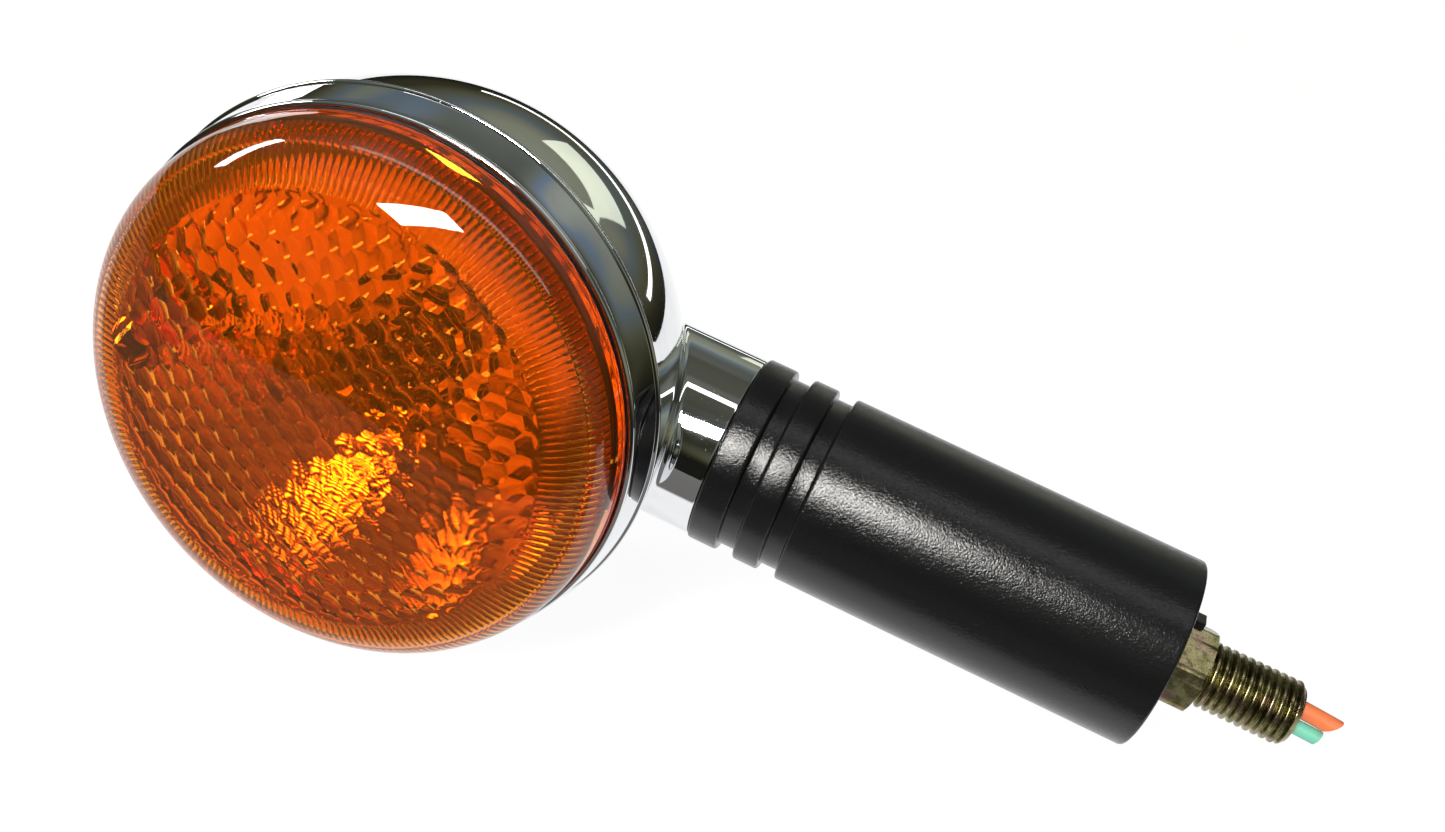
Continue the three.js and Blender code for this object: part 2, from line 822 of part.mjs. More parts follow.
function buildStem() {
  const { radius, endX, grooveRadius, grooves, edge, coreRadius, endWall } = stemShape;
  const { spigotRadius, spigotLength, recessRadius, recessDepth } = stemShape;
  const startX = neck.endX + gap;
  const outline = [[spigotRadius, startX - spigotLength], [spigotRadius, startX], [radius - edge, startX],
    [radius, startX + edge]];
  for (const [from, to] of grooves) {
    outline.push([radius, from - edge], [radius - edge, from], [grooveRadius, from + gap]);
    outline.push([grooveRadius, to - gap], [radius - edge, to], [radius, to + edge]);
  }
  outline.push([radius, endX - edge], [radius - edge, endX]);
  outline.push([recessRadius, endX], [recessRadius, endX - recessDepth], [stud.hole, endX - recessDepth]);
  outline.push([stud.hole, endX - endWall], [coreRadius, endX - endWall - 2]);
  outline.push([coreRadius, startX - spigotLength]);
  const sleeve = revolveX(outline, medium);
  const { height, thick, width, length } = lug;
  const root = 1; // part of the lug inside the end wall
  const key = box(length + root, width, thick, endX + (length - root) / 2, 0, height + thick / 2);
  return join(sleeve, key);
}

addPiece(indicator, 'stem', buildStem(), blackFinish);

// Hollow stud: hexagon shoulder, thread rings outside, plain tube and a threaded inner end

function buildStud() {
  const { outer, pitch, threadDepth, bore, acrossFlats, hexTurn, tipX, innerEndX, plain } = stud;
  const { collar, collarEndX, chamfer } = stud;
  const root = outer - threadDepth;
  const hexStartX = stemShape.endX + gap;
  const crestFrom = pitch * 0.42;
  const crestTo = pitch * 0.58;
  const outline = [[bore, innerEndX], [plain - 0.4, innerEndX], [plain, innerEndX + 0.4]];
  outline.push([plain, hexStartX + 1], [collar, hexStartX + 1], [collar, collarEndX], [root, collarEndX]);
  const turns = Math.floor((tipX - 2 * chamfer) / pitch);
  for (let i = 0; i < turns; i += 1) {
    const x = collarEndX + i * pitch;
    outline.push([outer, x + crestFrom], [outer, x + crestTo], [root, x + pitch]);
  }
  outline.push([outer, collarEndX + turns * pitch + crestFrom], [outer, tipX - chamfer]);
  outline.push([root, tipX], [bore, tipX]);
  const sides = 28;
  const shaft = revolveX(outline, sides);
  const bevel = revolveX([[0, hexStartX], [8, hexStartX], [8, -0.9], [6.2, 0], [0, 0]], small);
  const head = common(hexPrism(acrossFlats, hexStartX, 0, hexTurn), bevel);
  const through = revolveX(rodOutline(bore, innerEndX - overrun, tipX + overrun), sides);
  return cut(join(shaft, head), through);
}

addPiece(indicator, 'mounting_stud', buildStud(), zincFinish);

addPiece(
  indicator,
  'stud_nut',
  cut(
    hexPrism(nutSize.acrossFlats, nutSize.x, nutSize.x + nutSize.thick, 0),
    revolveX(rodOutline(stud.hole, nutSize.x - overrun, nutSize.x + nutSize.thick + overrun), small),
  ),
  zincFinish,
);

addPiece(
  indicator,
  'stud_washer',
  revolveX(
    washerOutline(stud.hole, nutSize.washerRadius, nutSize.x + nutSize.thick + gap, neck.padX - gap),
    medium,
  ),
  zincFinish,
);

// Leads: from the holder, round behind the reflector and out through the stud's bore

const leadSteps = 40;

const orangeRoute = [
  [-113.6, 10.8, 9.4],
  [-111.2, 10.1, 11.3],
  [-107.6, 7.6, 11],
  [-106.2, 3.6, 7.6],
  [-105.9, 0.9, 3.8],
  [-104.6, 0.1, 1.8],
  [-103.2, 0, orangeOffset],
  [-101, 0, orangeOffset],
  [-60, 0, orangeOffset],
  [0, 0, orangeOffset],
  [orangeEndX - orangeFree, 0, orangeOffset],
  [orangeEndX, -0.2, orangeOffset - 0.35],
];

const greenRoute = [
  [-113, 0.4, -18],
  [-110.6, 0.4, -18],
  [-108, 0.5, -16],
  [-106.3, 0.6, -11],
  [-106, 0.4, -6],
  [-104.8, 0, -2],
  [-103.2, 0, greenOffset],
  [-101, 0, greenOffset],
  [-60, 0, greenOffset],
  [0, 0, greenOffset],
  [greenEndX - greenFree, 0, greenOffset],
  [greenEndX, -0.1, greenOffset - 0.15],
];

addPiece(indicator, 'lead_orange', tube(orangeRoute, orangeRadius, 8, leadSteps), orangeFinish);
addPiece(indicator, 'lead_green', tube(greenRoute, greenRadius, 8, leadSteps), greenFinish);

export default indicator;
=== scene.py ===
import math

import bmesh
import bpy
import numpy as np
from mathutils import Matrix, Vector
from mathutils.geometry import delaunay_2d_cdt


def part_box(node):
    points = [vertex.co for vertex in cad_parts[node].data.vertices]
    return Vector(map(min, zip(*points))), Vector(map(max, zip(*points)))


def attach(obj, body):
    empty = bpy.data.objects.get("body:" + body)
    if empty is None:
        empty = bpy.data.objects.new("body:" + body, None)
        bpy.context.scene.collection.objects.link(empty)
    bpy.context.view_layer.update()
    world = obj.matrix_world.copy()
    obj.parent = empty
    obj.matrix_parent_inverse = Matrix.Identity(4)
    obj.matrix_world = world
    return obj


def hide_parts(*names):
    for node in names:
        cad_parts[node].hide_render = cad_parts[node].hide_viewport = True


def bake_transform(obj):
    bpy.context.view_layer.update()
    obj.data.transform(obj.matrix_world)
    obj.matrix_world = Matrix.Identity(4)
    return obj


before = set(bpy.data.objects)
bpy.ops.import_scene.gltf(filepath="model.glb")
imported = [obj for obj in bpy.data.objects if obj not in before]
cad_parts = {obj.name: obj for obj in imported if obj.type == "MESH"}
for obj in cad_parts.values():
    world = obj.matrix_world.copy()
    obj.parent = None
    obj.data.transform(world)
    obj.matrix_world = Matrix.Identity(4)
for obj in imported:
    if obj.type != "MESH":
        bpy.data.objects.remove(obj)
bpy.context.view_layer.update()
scene = bpy.context.scene
mm = 0.001

lensLow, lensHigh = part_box("lens")
housingLow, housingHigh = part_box("housing")
lampX = (lensLow.x + lensHigh.x) / 2 / mm
postTurn = 184.0  # where the lens screw sits round the lamp's axis
hookTurn = 4.0
fixingRadius = 28.5
dish = {
    "edge": 33.4,
    "rim": 35.9,
    "front": -27.7,
    "focus": -26.2,
    "hole": 9.6,
    "wall": 1.0,
    "notch": (5.35, -33.5, 0),  # radius, front and back of the opening for the lens's post
}

# the view

cameraSetup = {
    "place": (-0.0496, -0.2121, 0.1202),
    "right": (0.89751, 0.29999, 0.32321),
    "up": (-0.42436, 0.38830, 0.81801),
    "back": (0.11990, -0.87134, 0.47581),
    "lens": 40.55,
}


def addCamera(setup):
    data = bpy.data.cameras.new("view")
    data.sensor_width = 36
    data.lens = setup["lens"]
    data.clip_start = 0.01
    eye = bpy.data.objects.new("view", data)
    scene.collection.objects.link(eye)
    axes = Matrix((setup["right"], setup["up"], setup["back"])).transposed().to_4x4()
    eye.matrix_world = Matrix.Translation(setup["place"]) @ axes
    scene.camera = eye


addCamera(cameraSetup)
scene.view_settings.view_transform = "Standard"
print("camera placed")

# shader sums written as Python expressions


class Wire:
    def __init__(self, look, socket):
        self.look = look
        self.socket = socket

    def math(self, operation, first, second=0.0):
        return self.look.node("ShaderNodeMath", {"operation": operation}, {0: first, 1: second})

    def __add__(self, other):
        return self.math("ADD", self, other)

    def __sub__(self, other):
        return self.math("SUBTRACT", self, other)

    def __rsub__(self, other):
        return self.math("SUBTRACT", other, self)

    def __mul__(self, other):
        return self.math("MULTIPLY", self, other)

    def __pow__(self, other):
        return self.math("POWER", self, other)

    __radd__ = __add__
    __rmul__ = __mul__


class Look:
    def __init__(self, tree):
        self.tree = tree
        tree.nodes.clear()

    # one node: settings are set first, then its sockets get values or links
    def node(self, kind, settings=None, sockets=None, out=0):
        made = self.tree.nodes.new(kind)
        for key, value in (settings or {}).items():
            if key == "stops":
                ramp = made.color_ramp
                while len(ramp.elements) < len(value):
                    ramp.elements.new(0.5)
                for element, (place, colour) in zip(ramp.elements, value):
                    element.position = place
                    element.color = (*colour, 1)
            else:
                setattr(made, key, value)
        for key, value in (sockets or {}).items():
            if isinstance(value, Wire):
                self.tree.links.new(value.socket, made.inputs[key])
            elif isinstance(value, tuple) and len(value) == 3 and made.inputs[key].type == "RGBA":
                made.inputs[key].default_value = (*value, 1)
            else:
                made.inputs[key].default_value = value
        return Wire(self, made.outputs[out]) if made.outputs else made

    def place(self):
        return self.node("ShaderNodeTexCoord", out="Object")

    # distance from the lamp's axis, in metres
    def fromAxis(self):
        x = self.node("ShaderNodeSeparateXYZ", {}, {"Vector": self.place()}, out="X") - lampX * mm
        z = self.node("ShaderNodeSeparateXYZ", {}, {"Vector": self.place()}, out="Z")
        return (x * x + z * z) ** 0.5

    def noise(self, size, detail=3.0, rough=0.5, stretch=(1, 1, 1), seed=0.0):
        vector = self.node(
            "ShaderNodeMapping",
            {"vector_type": "POINT"},
            {"Vector": self.place(), "Location": (seed, seed * 0.7, seed * 1.3), "Scale": stretch},
        )
        sockets = {"Vector": vector, "Scale": 1 / (size * mm), "Detail": detail, "Roughness": rough}
        return self.node("ShaderNodeTexNoise", {"noise_dimensions": "3D"}, sockets)

    def span(self, value, low, high, toLow=0.0, toHigh=1.0):
        sockets = {"Value": value, "From Min": low, "From Max": high, "To Min": toLow, "To Max": toHigh}
        return self.node("ShaderNodeMapRange", {"interpolation_type": "SMOOTHSTEP"}, sockets)

    def mix(self, factor, first, second, way="MIX"):
        settings = {"data_type": "RGBA", "blend_type": way}
        return self.node("ShaderNodeMix", settings, {0: factor, 6: first, 7: second}, out=2)

    def bump(self, height, depth, strength=1.0):
        sockets = {"Height": height, "Distance": depth * mm, "Strength": strength}
        return self.node("ShaderNodeBump", {}, sockets)


def newLook(name):
    material = bpy.data.materials.new(name)
    material.use_nodes = True
    return material, Look(material.node_tree)


def closeLook(look, sockets):
    shader = look.node("ShaderNodeBsdfPrincipled", {}, sockets)
    look.node("ShaderNodeOutputMaterial", {}, {"Surface": shader})


# finishes


def chromePlate():
    material, look = newLook("chrome_plate")
    waves = look.noise(14, 2)
    dust = look.noise(0.35, 2, seed=3)
    smear = look.span(look.noise(9, 4, 0.6, seed=5), 0.45, 0.75)
    specks = look.span(dust, 0.69, 0.76)
    closeLook(look, {
        "Base Color": look.mix(smear, (0.80, 0.81, 0.83), (0.73, 0.74, 0.76)),
        "Metallic": 1.0,
        "Roughness": 0.025 + 0.03 * smear + 0.16 * specks,
        "Normal": look.bump(waves, 0.05, 0.35),
    })
    return material


# the film stops at the dish's edge and the flange round it stays satin
def mirrorFilm():
    material, look = newLook("mirror_film")
    ripple = look.noise(5, 2, seed=1)
    haze = look.span(look.noise(12, 3, seed=2), 0.4, 0.7)
    flange = look.span(look.fromAxis(), dish["edge"] * mm - 0.0003, dish["edge"] * mm - 0.0001)
    film = look.mix(haze, (0.90, 0.90, 0.88), (0.82, 0.82, 0.80))
    closeLook(look, {
        "Base Color": look.mix(flange, film, (0.28, 0.28, 0.26)),
        "Metallic": 1.0,
        "Roughness": 0.05 + 0.05 * haze + 0.65 * flange,
        "Normal": look.bump(ripple, 0.1, 0.3),
    })
    return material


amberSetup = {"colour": (1.0, 0.31, 0.02), "ior": 1.49, "clear": 0.96}


def amberPlastic(setup):
    material, look = newLook("amber_plastic")
    scuffs = look.span(look.noise(0.5, 3, 0.6, (1, 1, 0.15), seed=4), 0.62, 0.8)
    handling = look.span(look.noise(11, 3, seed=8), 0.45, 0.7)
    closeLook(look, {
        "Base Color": setup["colour"],
        "Roughness": 0.012 + 0.012 * handling + 0.03 * scuffs,
        "IOR": setup["ior"],
        "Transmission Weight": setup["clear"],
        "Normal": look.bump(look.noise(8, 2, seed=6), 0.02, 0.2),
    })
    return material


def gasketRubber():
    material, look = newLook("gasket_rubber")
    grain = look.noise(0.25, 3)
    closeLook(look, {
        "Base Color": look.mix(look.noise(4, 2), (0.012, 0.012, 0.012), (0.03, 0.03, 0.03)),
        "Roughness": 0.6 + 0.25 * grain,
        "Normal": look.bump(grain, 0.02, 0.6),
    })
    return material


def satinBlack():
    material, look = newLook("satin_black")
    sand = look.noise(0.30, 2, 0.6)
    broad = look.noise(1.1, 2, seed=2)
    wear = look.span(look.noise(6, 4, 0.6, seed=7), 0.5, 0.75)
    nicks = look.span(look.noise(0.6, 3, 0.6, (0.2, 1, 1), seed=9), 0.74, 0.8)
    closeLook(look, {
        "Base Color": look.mix(nicks, (0.006, 0.006, 0.0065), (0.03, 0.03, 0.03)),
        "Roughness": 0.13 + 0.08 * sand + 0.04 * wear,
        "IOR": 1.42,
        "Normal": look.bump(sand + 0.3 * broad, 0.08, 0.7),
    })
    return material


def zincPassivate():
    material, look = newLook("zinc_passivate")
    tint = look.span(look.noise(2.2, 3, 0.6), 0.4, 0.62)
    rose = look.span(look.noise(3.1, 3, 0.6, seed=4), 0.5, 0.68)
    grime = look.span(look.noise(0.8, 4, 0.65, seed=6), 0.52, 0.72)
    base = look.mix(tint, (0.17, 0.155, 0.07), (0.32, 0.29, 0.15))
    base = look.mix(0.75 * rose, base, (0.30, 0.20, 0.165))
    base = look.mix(0.7 * grime, base, (0.11, 0.095, 0.05))
    closeLook(look, {
        "Base Color": base,
        "Metallic": 1.0,
        "Roughness": 0.22 + 0.22 * grime + 0.06 * tint,
        "Normal": look.bump(look.noise(0.18, 3, 0.6, (0.3, 1, 1), seed=2), 0.02, 0.5),
    })
    return material


def plainMetal(name, first, second, rough, grainSize, depth):
    material, look = newLook(name)
    grain = look.noise(grainSize, 3, 0.6)
    stain = look.span(look.noise(3, 4, 0.6, seed=3), 0.42, 0.7)
    closeLook(look, {
        "Base Color": look.mix(stain, first, second),
        "Metallic": 1.0,
        "Roughness": rough + 0.15 * stain + 0.06 * grain,
        "Normal": look.bump(grain, depth, 0.5),
    })
    return material


def leadPlastic(name, first, second):
    material, look = newLook(name)
    dirt = look.span(look.noise(1.6, 4, 0.6, (0.5, 1, 1), seed=2), 0.45, 0.75)
    grain = look.noise(0.2, 3, 0.6, (0.3, 1, 1))
    closeLook(look, {
        "Base Color": look.mix(0.6 * dirt, first, second),
        "Roughness": 0.38 + 0.2 * dirt,
        "IOR": 1.5,
        "Normal": look.bump(grain, 0.02, 0.5),
    })
    return material


def dullSolid(name, first, second, rough, grainSize):
    material, look = newLook(name)
    grain = look.noise(grainSize, 4, 0.6)
    closeLook(look, {
        "Base Color": look.mix(look.span(grain, 0.35, 0.7), first, second),
        "Roughness": rough + 0.15 * grain,
        "Normal": look.bump(grain, 0.03, 0.5),
    })
    return material


def clearGlass():
    material, look = newLook("clear_glass")
    closeLook(look, {
        "Base Color": (0.97, 0.98, 0.97),
        "Roughness": 0.01 + 0.02 * look.span(look.noise(3, 3), 0.5, 0.8),
        "IOR": 1.5,
        "Transmission Weight": 1.0,
        "Normal": look.bump(look.noise(4, 2), 0.02, 0.2),
    })
    return material


chrome = chromePlate()
mirror = mirrorFilm()
amber = amberPlastic(amberSetup)
rubber = gasketRubber()
black = satinBlack()
zinc = zincPassivate()
steel = plainMetal("zinc_steel_parts", (0.62, 0.62, 0.60), (0.44, 0.43, 0.40), 0.24, 0.3, 0.01)
brass = plainMetal("brass_sheet", (0.74, 0.55, 0.24), (0.50, 0.35, 0.15), 0.2, 0.4, 0.01)
tungsten = plainMetal("tungsten_wire", (0.30, 0.30, 0.32), (0.18, 0.18, 0.20), 0.3, 0.1, 0.004)
solder = plainMetal("solder_drop", (0.52, 0.52, 0.53), (0.36, 0.36, 0.37), 0.35, 0.5, 0.02)
fibre = dullSolid("pressed_fibre", (0.22, 0.11, 0.05), (0.33, 0.18, 0.09), 0.65, 0.5)
blackGlass = dullSolid("black_glass", (0.006, 0.006, 0.008), (0.02, 0.02, 0.03), 0.1, 1.5)
glass = clearGlass()
orangePvc = leadPlastic("orange_pvc", (0.72, 0.17, 0.055), (0.40, 0.12, 0.06))
greenPvc = leadPlastic("green_pvc", (0.16, 0.52, 0.38), (0.16, 0.30, 0.22))
print("finishes made")

# shapes, worked out in millimetres


def build(name, points, faces, merge=1e-4):
    mesh = bpy.data.meshes.new(name)
    mesh.from_pydata([tuple(float(c) * mm for c in p) for p in points], [], faces)
    form = bmesh.new()
    form.from_mesh(mesh)
    bmesh.ops.remove_doubles(form, verts=form.verts, dist=merge * mm)
    bmesh.ops.recalc_face_normals(form, faces=form.faces)
    form.to_mesh(mesh)
    form.free()
    piece = bpy.data.objects.new(name, mesh)
    scene.collection.objects.link(piece)
    return piece


def ring(radius, along, sides, axis="Y"):
    spots = []
    for i in range(sides):
        turn = 2 * math.pi * i / sides
        across, up = radius * math.cos(turn), radius * math.sin(turn)
        spots.append((across, along, up) if axis == "Y" else (along, across, up))
    return spots


# joins rings of equal count, one after another, and a lone point closes an end
def skin(rings, looped=False):
    points, starts = [], []
    for spots in rings:
        starts.append(len(points))
        points.extend(spots)
    faces = []
    pairs = list(range(len(rings) - 1)) + ([len(rings) - 1] if looped else [])
    for k in pairs:
        n = (k + 1) % len(rings)
        a, b, countA, countB = starts[k], starts[n], len(rings[k]), len(rings[n])
        for i in range(max(countA, countB)):
            j = (i + 1) % max(countA, countB)
            if countA == 1:
                faces.append((a, b + i, b + j))
            elif countB == 1:
                faces.append((a + i, a + j, b))
            elif countB == 2 * countA:
                h, g = i // 2, (i // 2 + 1) % countA
                faces.append((a + h, b + j, b + i) if i % 2 == 0 else (a + g, b + j, b + i))
                if i % 2 == 0:
                    faces.append((a + h, a + g, b + j))
            else:
                faces.append((a + i, a + j, b + j, b + i))
    return points, faces


# an outline of (radius, along) rows turned round an axis
def turned(outline, sides, axis="Y"):
    rings = [ring(r, y, sides, axis) if r > 1e-6 else [(0, y, 0) if axis == "Y" else (y, 0, 0)]
             for r, y in outline]
    onAxis = outline[0][0] <= 1e-6 and outline[-1][0] <= 1e-6
    return skin(rings, looped=not onAxis)


def rod(radius, start, end, sides, axis="Y"):
    return turned([(0, start), (radius, start), (radius, end), (0, end)], sides, axis)


# softens the corners of an outline of (radius, along, rounding) rows
def softened(rows, looped=True, steps=5):
    smooth = []
    for i, row in enumerate(rows):
        corner = Vector(row[:2])
        size = row[2] if len(row) > 2 else 0
        atEnd = not looped and i in (0, len(rows) - 1)
        if size <= 0 or atEnd:
            smooth.append(tuple(corner))
            continue
        before = Vector(rows[i - 1][:2]) - corner
        after = Vector(rows[(i + 1) % len(rows)][:2]) - corner
        reach = min(size, before.length * 0.49, after.length * 0.49)
        first = corner + before.normalized() * reach
        last = corner + after.normalized() * reach
        for k in range(steps + 1):
            t = k / steps
            smooth.append(tuple((1 - t) ** 2 * first + 2 * t * (1 - t) * corner + t * t * last))
    return smooth


def arc(centreR, centreY, radius, fromTurn, toTurn, steps):
    turns = [math.radians(fromTurn + (toTurn - fromTurn) * i / steps) for i in range(steps + 1)]
    return [(centreR + radius * math.cos(t), centreY + radius * math.sin(t)) for t in turns]


def dome(radius, baseY, depth, power, steps, fromTurn=0.0, toTurn=math.pi / 2):
    spots = []
    for i in range(steps + 1):
        t = fromTurn + (toTurn - fromTurn) * i / steps
        r = radius * max(math.cos(t), 0) ** (2 / power)
        spots.append((r if r > 1e-5 else 0.0, baseY + depth * max(math.sin(t), 0) ** (2 / power)))
    return spots


def moved(points, x=0.0, z=0.0):
    return [(p[0] + x, p[1], p[2] + z) for p in points]


def roundY(points, degrees):
    c, s = math.cos(math.radians(degrees)), math.sin(math.radians(degrees))
    return [(p[0] * c - p[2] * s, p[1], p[0] * s + p[2] * c) for p in points]


def block(sizes, middle):
    points = [tuple(m + s * h / 2 for m, s, h in zip(middle, signs, sizes))
              for signs in [(a, b, c) for a in (-1, 1) for b in (-1, 1) for c in (-1, 1)]]
    faces = [(0, 1, 3, 2), (4, 6, 7, 5), (0, 4, 5, 1), (2, 3, 7, 6), (0, 2, 6, 4), (1, 5, 7, 3)]
    return points, faces


def bake(piece):
    graph = bpy.context.evaluated_depsgraph_get()
    mesh = bpy.data.meshes.new_from_object(piece.evaluated_get(graph))
    piece.modifiers.clear()
    old = piece.data
    piece.data = mesh
    bpy.data.meshes.remove(old)


# joins or cuts a piece with another one, which is used up
def useUp(piece, way, other):
    change = piece.modifiers.new("change", "BOOLEAN")
    change.operation = way
    change.solver = "MANIFOLD"
    change.object = other
    bake(piece)
    spent = other.data
    bpy.data.objects.remove(other)
    bpy.data.meshes.remove(spent)


def combine(piece, way, *shapes):
    for points, faces in shapes:
        useUp(piece, way, build("tool", points, faces))


def dress(piece, material, body, slot=None, nodes=(), angle=32.0, weighted=False):
    piece.data.materials.clear()
    piece.data.materials.append(material)
    piece.data.polygons.foreach_set("use_smooth", [True] * len(piece.data.polygons))
    piece.data.set_sharp_from_angle(angle=math.radians(angle))
    if weighted:
        normals = piece.modifiers.new("even", "WEIGHTED_NORMAL")
        normals.keep_sharp = True
        normals.weight = 50
    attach(piece, body)
    if nodes:
        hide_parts(*nodes)
    return piece


# puts a shape on the lamp's axis, or off it by a radius and turned round it, or higher up
def onLamp(shape, turn=None, radius=0.0, height=0.0):
    points, faces = shape
    points = moved(points, x=radius, z=height)
    if turn is not None:
        points = roundY(points, turn)
    return moved(points, x=lampX), faces


# housing

housing = {
    "sides": 288,
    "baseY": -29.1,
    "bowlRadius": 40.35,
    "bowlStart": -22.17,
    "bowlDepth": 39.1,
    "bowlPower": 2.744,
    "bowlFrom": 0.012,
    "wall": 2.1,
    "insideRadius": 39.3,  # what is built inside the bowl ends here, within its wall
    "insideFront": -24,
    "ledgeBore": 36.6,
    "ledgeThick": 1.6,
    "neckRadius": 14.3,
    "neckEnd": housingHigh.x / mm,
    "neckFillet": 1.1,
    "neckRootX": 12,  # the neck starts this far off the lamp's axis, inside the bowl
    "neckHollow": (11.9, -84.6, -70),  # radius, start and end, as in the rows below
    "nutBoss": (9.5, -95, -84.5),
    "nutRoom": (9.5, -104, -95),
    "studHole": (5.3, -97, -70),
    "screwTubes": [(4.6, -22.6, 30), (6.4, -0.5, 30)],
    "screwHole": (2.5, -24, 30),
    "screwRecess": (4.8, 1.5, 30),
    "bracketPost": (3.6, 2.1, 30),
    "bracketPilot": (2.1, 0, 9.5),
    "bracketSpread": 18,
    "rib": (4.3, 14.3, 1.6),
    "ribPlace": (37.1, -19.15, 0),
}


def bowlRadiusAt(y):
    share = min(abs((y - housing["bowlStart"]) / housing["bowlDepth"]), 1)
    return housing["bowlRadius"] * (1 - share ** housing["bowlPower"]) ** (1 / housing["bowlPower"])


def rimOutline():
    lipY = housing["baseY"]
    rows = arc(39.62, lipY, 0.58, -180, 25, 14)  # rolled lip
    rows += [(39.98, -28.62), (39.93, -28.45), (40.02, -28.3)]  # dark line behind the lip
    rows += [(40.25, -27.2), (40.5, -25.9), (40.74, -24.6), (40.93, -23.45)]  # band
    rows += [(40.97, -23.2), (40.86, -23.08), (40.88, -22.95)]
    rows += arc(41.02, -22.5, 0.42, -70, 88, 8)  # bead
    rows += [(40.62, -21.98), (40.42, -21.8)]
    return rows


def neckRoot(turn, reach):
    across, up = reach * math.cos(turn), reach * math.sin(turn)
    return math.sqrt(max(bowlRadiusAt(across) ** 2 - up ** 2, 0))


def neckShape():
    sides, filletSteps, edge = 240, 7, 0.35
    radius, fillet, rootStart = housing["neckRadius"], housing["neckFillet"], housing["neckRootX"]
    endX = housing["neckEnd"] - lampX
    paths = []
    for i in range(sides):
        turn = 2 * math.pi * i / sides
        outward = Vector((0, math.cos(turn), math.sin(turn)))
        foot = Vector((neckRoot(turn, radius + fillet) - 0.04, radius + fillet))
        corner = Vector((neckRoot(turn, radius), radius))
        top = corner + Vector(((corner - foot).length, 0))
        path = [Vector((rootStart, radius - 1))]
        for k in range(filletSteps + 1):
            t = k / filletSteps
            path.append((1 - t) ** 2 * foot + 2 * t * (1 - t) * corner + t * t * top)
        path += [Vector((endX - edge, radius)), Vector((endX - 0.1, radius - 0.1))]
        path.append(Vector((endX, radius - edge)))
        paths.append([tuple(Vector((lampX + spot.x, 0, 0)) + outward * spot.y) for spot in path])
    rings = [list(row) for row in zip(*paths)]
    return skin([[(lampX + rootStart, 0, 0)], *rings, [(housing["neckEnd"], 0, 0)]])


def buildHousing():
    start, depth, power = housing["bowlStart"], housing["bowlDepth"], housing["bowlPower"]
    outline = [(0, housing["baseY"])] + rimOutline()
    outline += dome(housing["bowlRadius"], start, depth, power, 76, fromTurn=housing["bowlFrom"])
    piece = build("housing_shell", *onLamp(turned(outline, housing["sides"])))
    combine(piece, "UNION", neckShape())
    front = housing["baseY"] - 1
    ledge = housing["baseY"] + housing["ledgeThick"]
    inner = housing["bowlRadius"] - housing["wall"]
    cavity = [(0, front), (housing["ledgeBore"], front), (housing["ledgeBore"], ledge),
              (inner + 0.4, ledge + 0.4), (inner + 0.4, start - 1)]
    cavity += dome(inner, start, depth - housing["wall"], power, 30)
    combine(piece, "DIFFERENCE", onLamp(turned(cavity, 144)), rod(*housing["neckHollow"], 96, "X"))
    inside = [(0, housing["insideFront"]), (housing["insideRadius"], housing["insideFront"])]
    inside += dome(housing["insideRadius"], start, depth - 1, power, 30)
    spread = [housing["bracketSpread"], -housing["bracketSpread"]]
    tubes = [onLamp(rod(*sizes, 64), postTurn, fixingRadius) for sizes in housing["screwTubes"]]
    tubes += [onLamp(rod(*housing["bracketPost"], 48), height=height) for height in spread]
    for shape in tubes:
        tube = build("tube", *shape)
        combine(tube, "INTERSECT", onLamp(turned(inside, 96)))
        useUp(piece, "UNION", tube)
    for k in range(4):
        combine(piece, "UNION", onLamp(block(housing["rib"], housing["ribPlace"]), 45 + 90 * k))
    combine(piece, "UNION", rod(*housing["nutBoss"], 64, "X"))
    combine(
        piece,
        "DIFFERENCE",
        rod(*housing["studHole"], 64, "X"),
        rod(*housing["nutRoom"], 64, "X"),
        onLamp(rod(*housing["screwHole"], 48), postTurn, fixingRadius),
        onLamp(rod(*housing["screwRecess"], 72), postTurn, fixingRadius),
        *[onLamp(rod(*housing["bracketPilot"], 24), height=height) for height in spread],
    )
    return dress(piece, chrome, "lamp_body", "chrome_shell", ["housing"], angle=38, weighted=True)


buildHousing()
print("housing built")

# lens

lens = {
    "base": -30.3,
    "outer": 39.2,
    "depth": 14.0,
    "power": 2.925,
    "wall": 1.85,
    "sides": 648,
    "ringDepth": 1.2,  # the plain ring at the base
    "patternRadius": 31.0,
    "patternGap": 0.22,
    "patternFade": 0.9,
    "cellA": (2.77, 1.75),  # steps from one lenslet to the next, across and up
    "cellB": (0.0, 3.47),
    "cellHeight": 0.38,
    "cellSteps": 5,
    "flutes": 216,
    "fluteDeep": 0.28,
    "fluteShallow": 0.13,
    "wallFrom": 0.10,  # turns of the inner wall, from its base to the front's pattern
    "cornerTurn": 0.31,  # where the side wall meets the front inside
    "cornerStep": 0.015,
    "cornerFade": 0.22,
    "cornerThick": 0.5,
    "frontGap": 0.05,
    "fluteFade": (0.05, 0.03),
    "post": [(0, -43), (1.8, -43), (3.5, -43), (3.55, -37), (4.2, -23.5), (3.9, -23.2), (0, -23.2)],
    "postSink": 0.9,
    "pilot": [(0, -34.4), (0.9, -34.2), (1.85, -33.0), (1.85, -20), (0, -20)],
    "hookArm": ((1.6, 5.8, 7), (35.35, -28.6, 0)),  # sizes and middle
    "hookLip": ((2.55, 1.45, 7), (36.575, -26.425, 0)),
}


def lensInnerY(r):
    share = np.clip(np.asarray(r) / (lens["outer"] - lens["wall"]), 0, 1)
    depth = lens["depth"] - lens["wall"]
    return lens["base"] - depth * (1 - share ** lens["power"]) ** (1 / lens["power"])


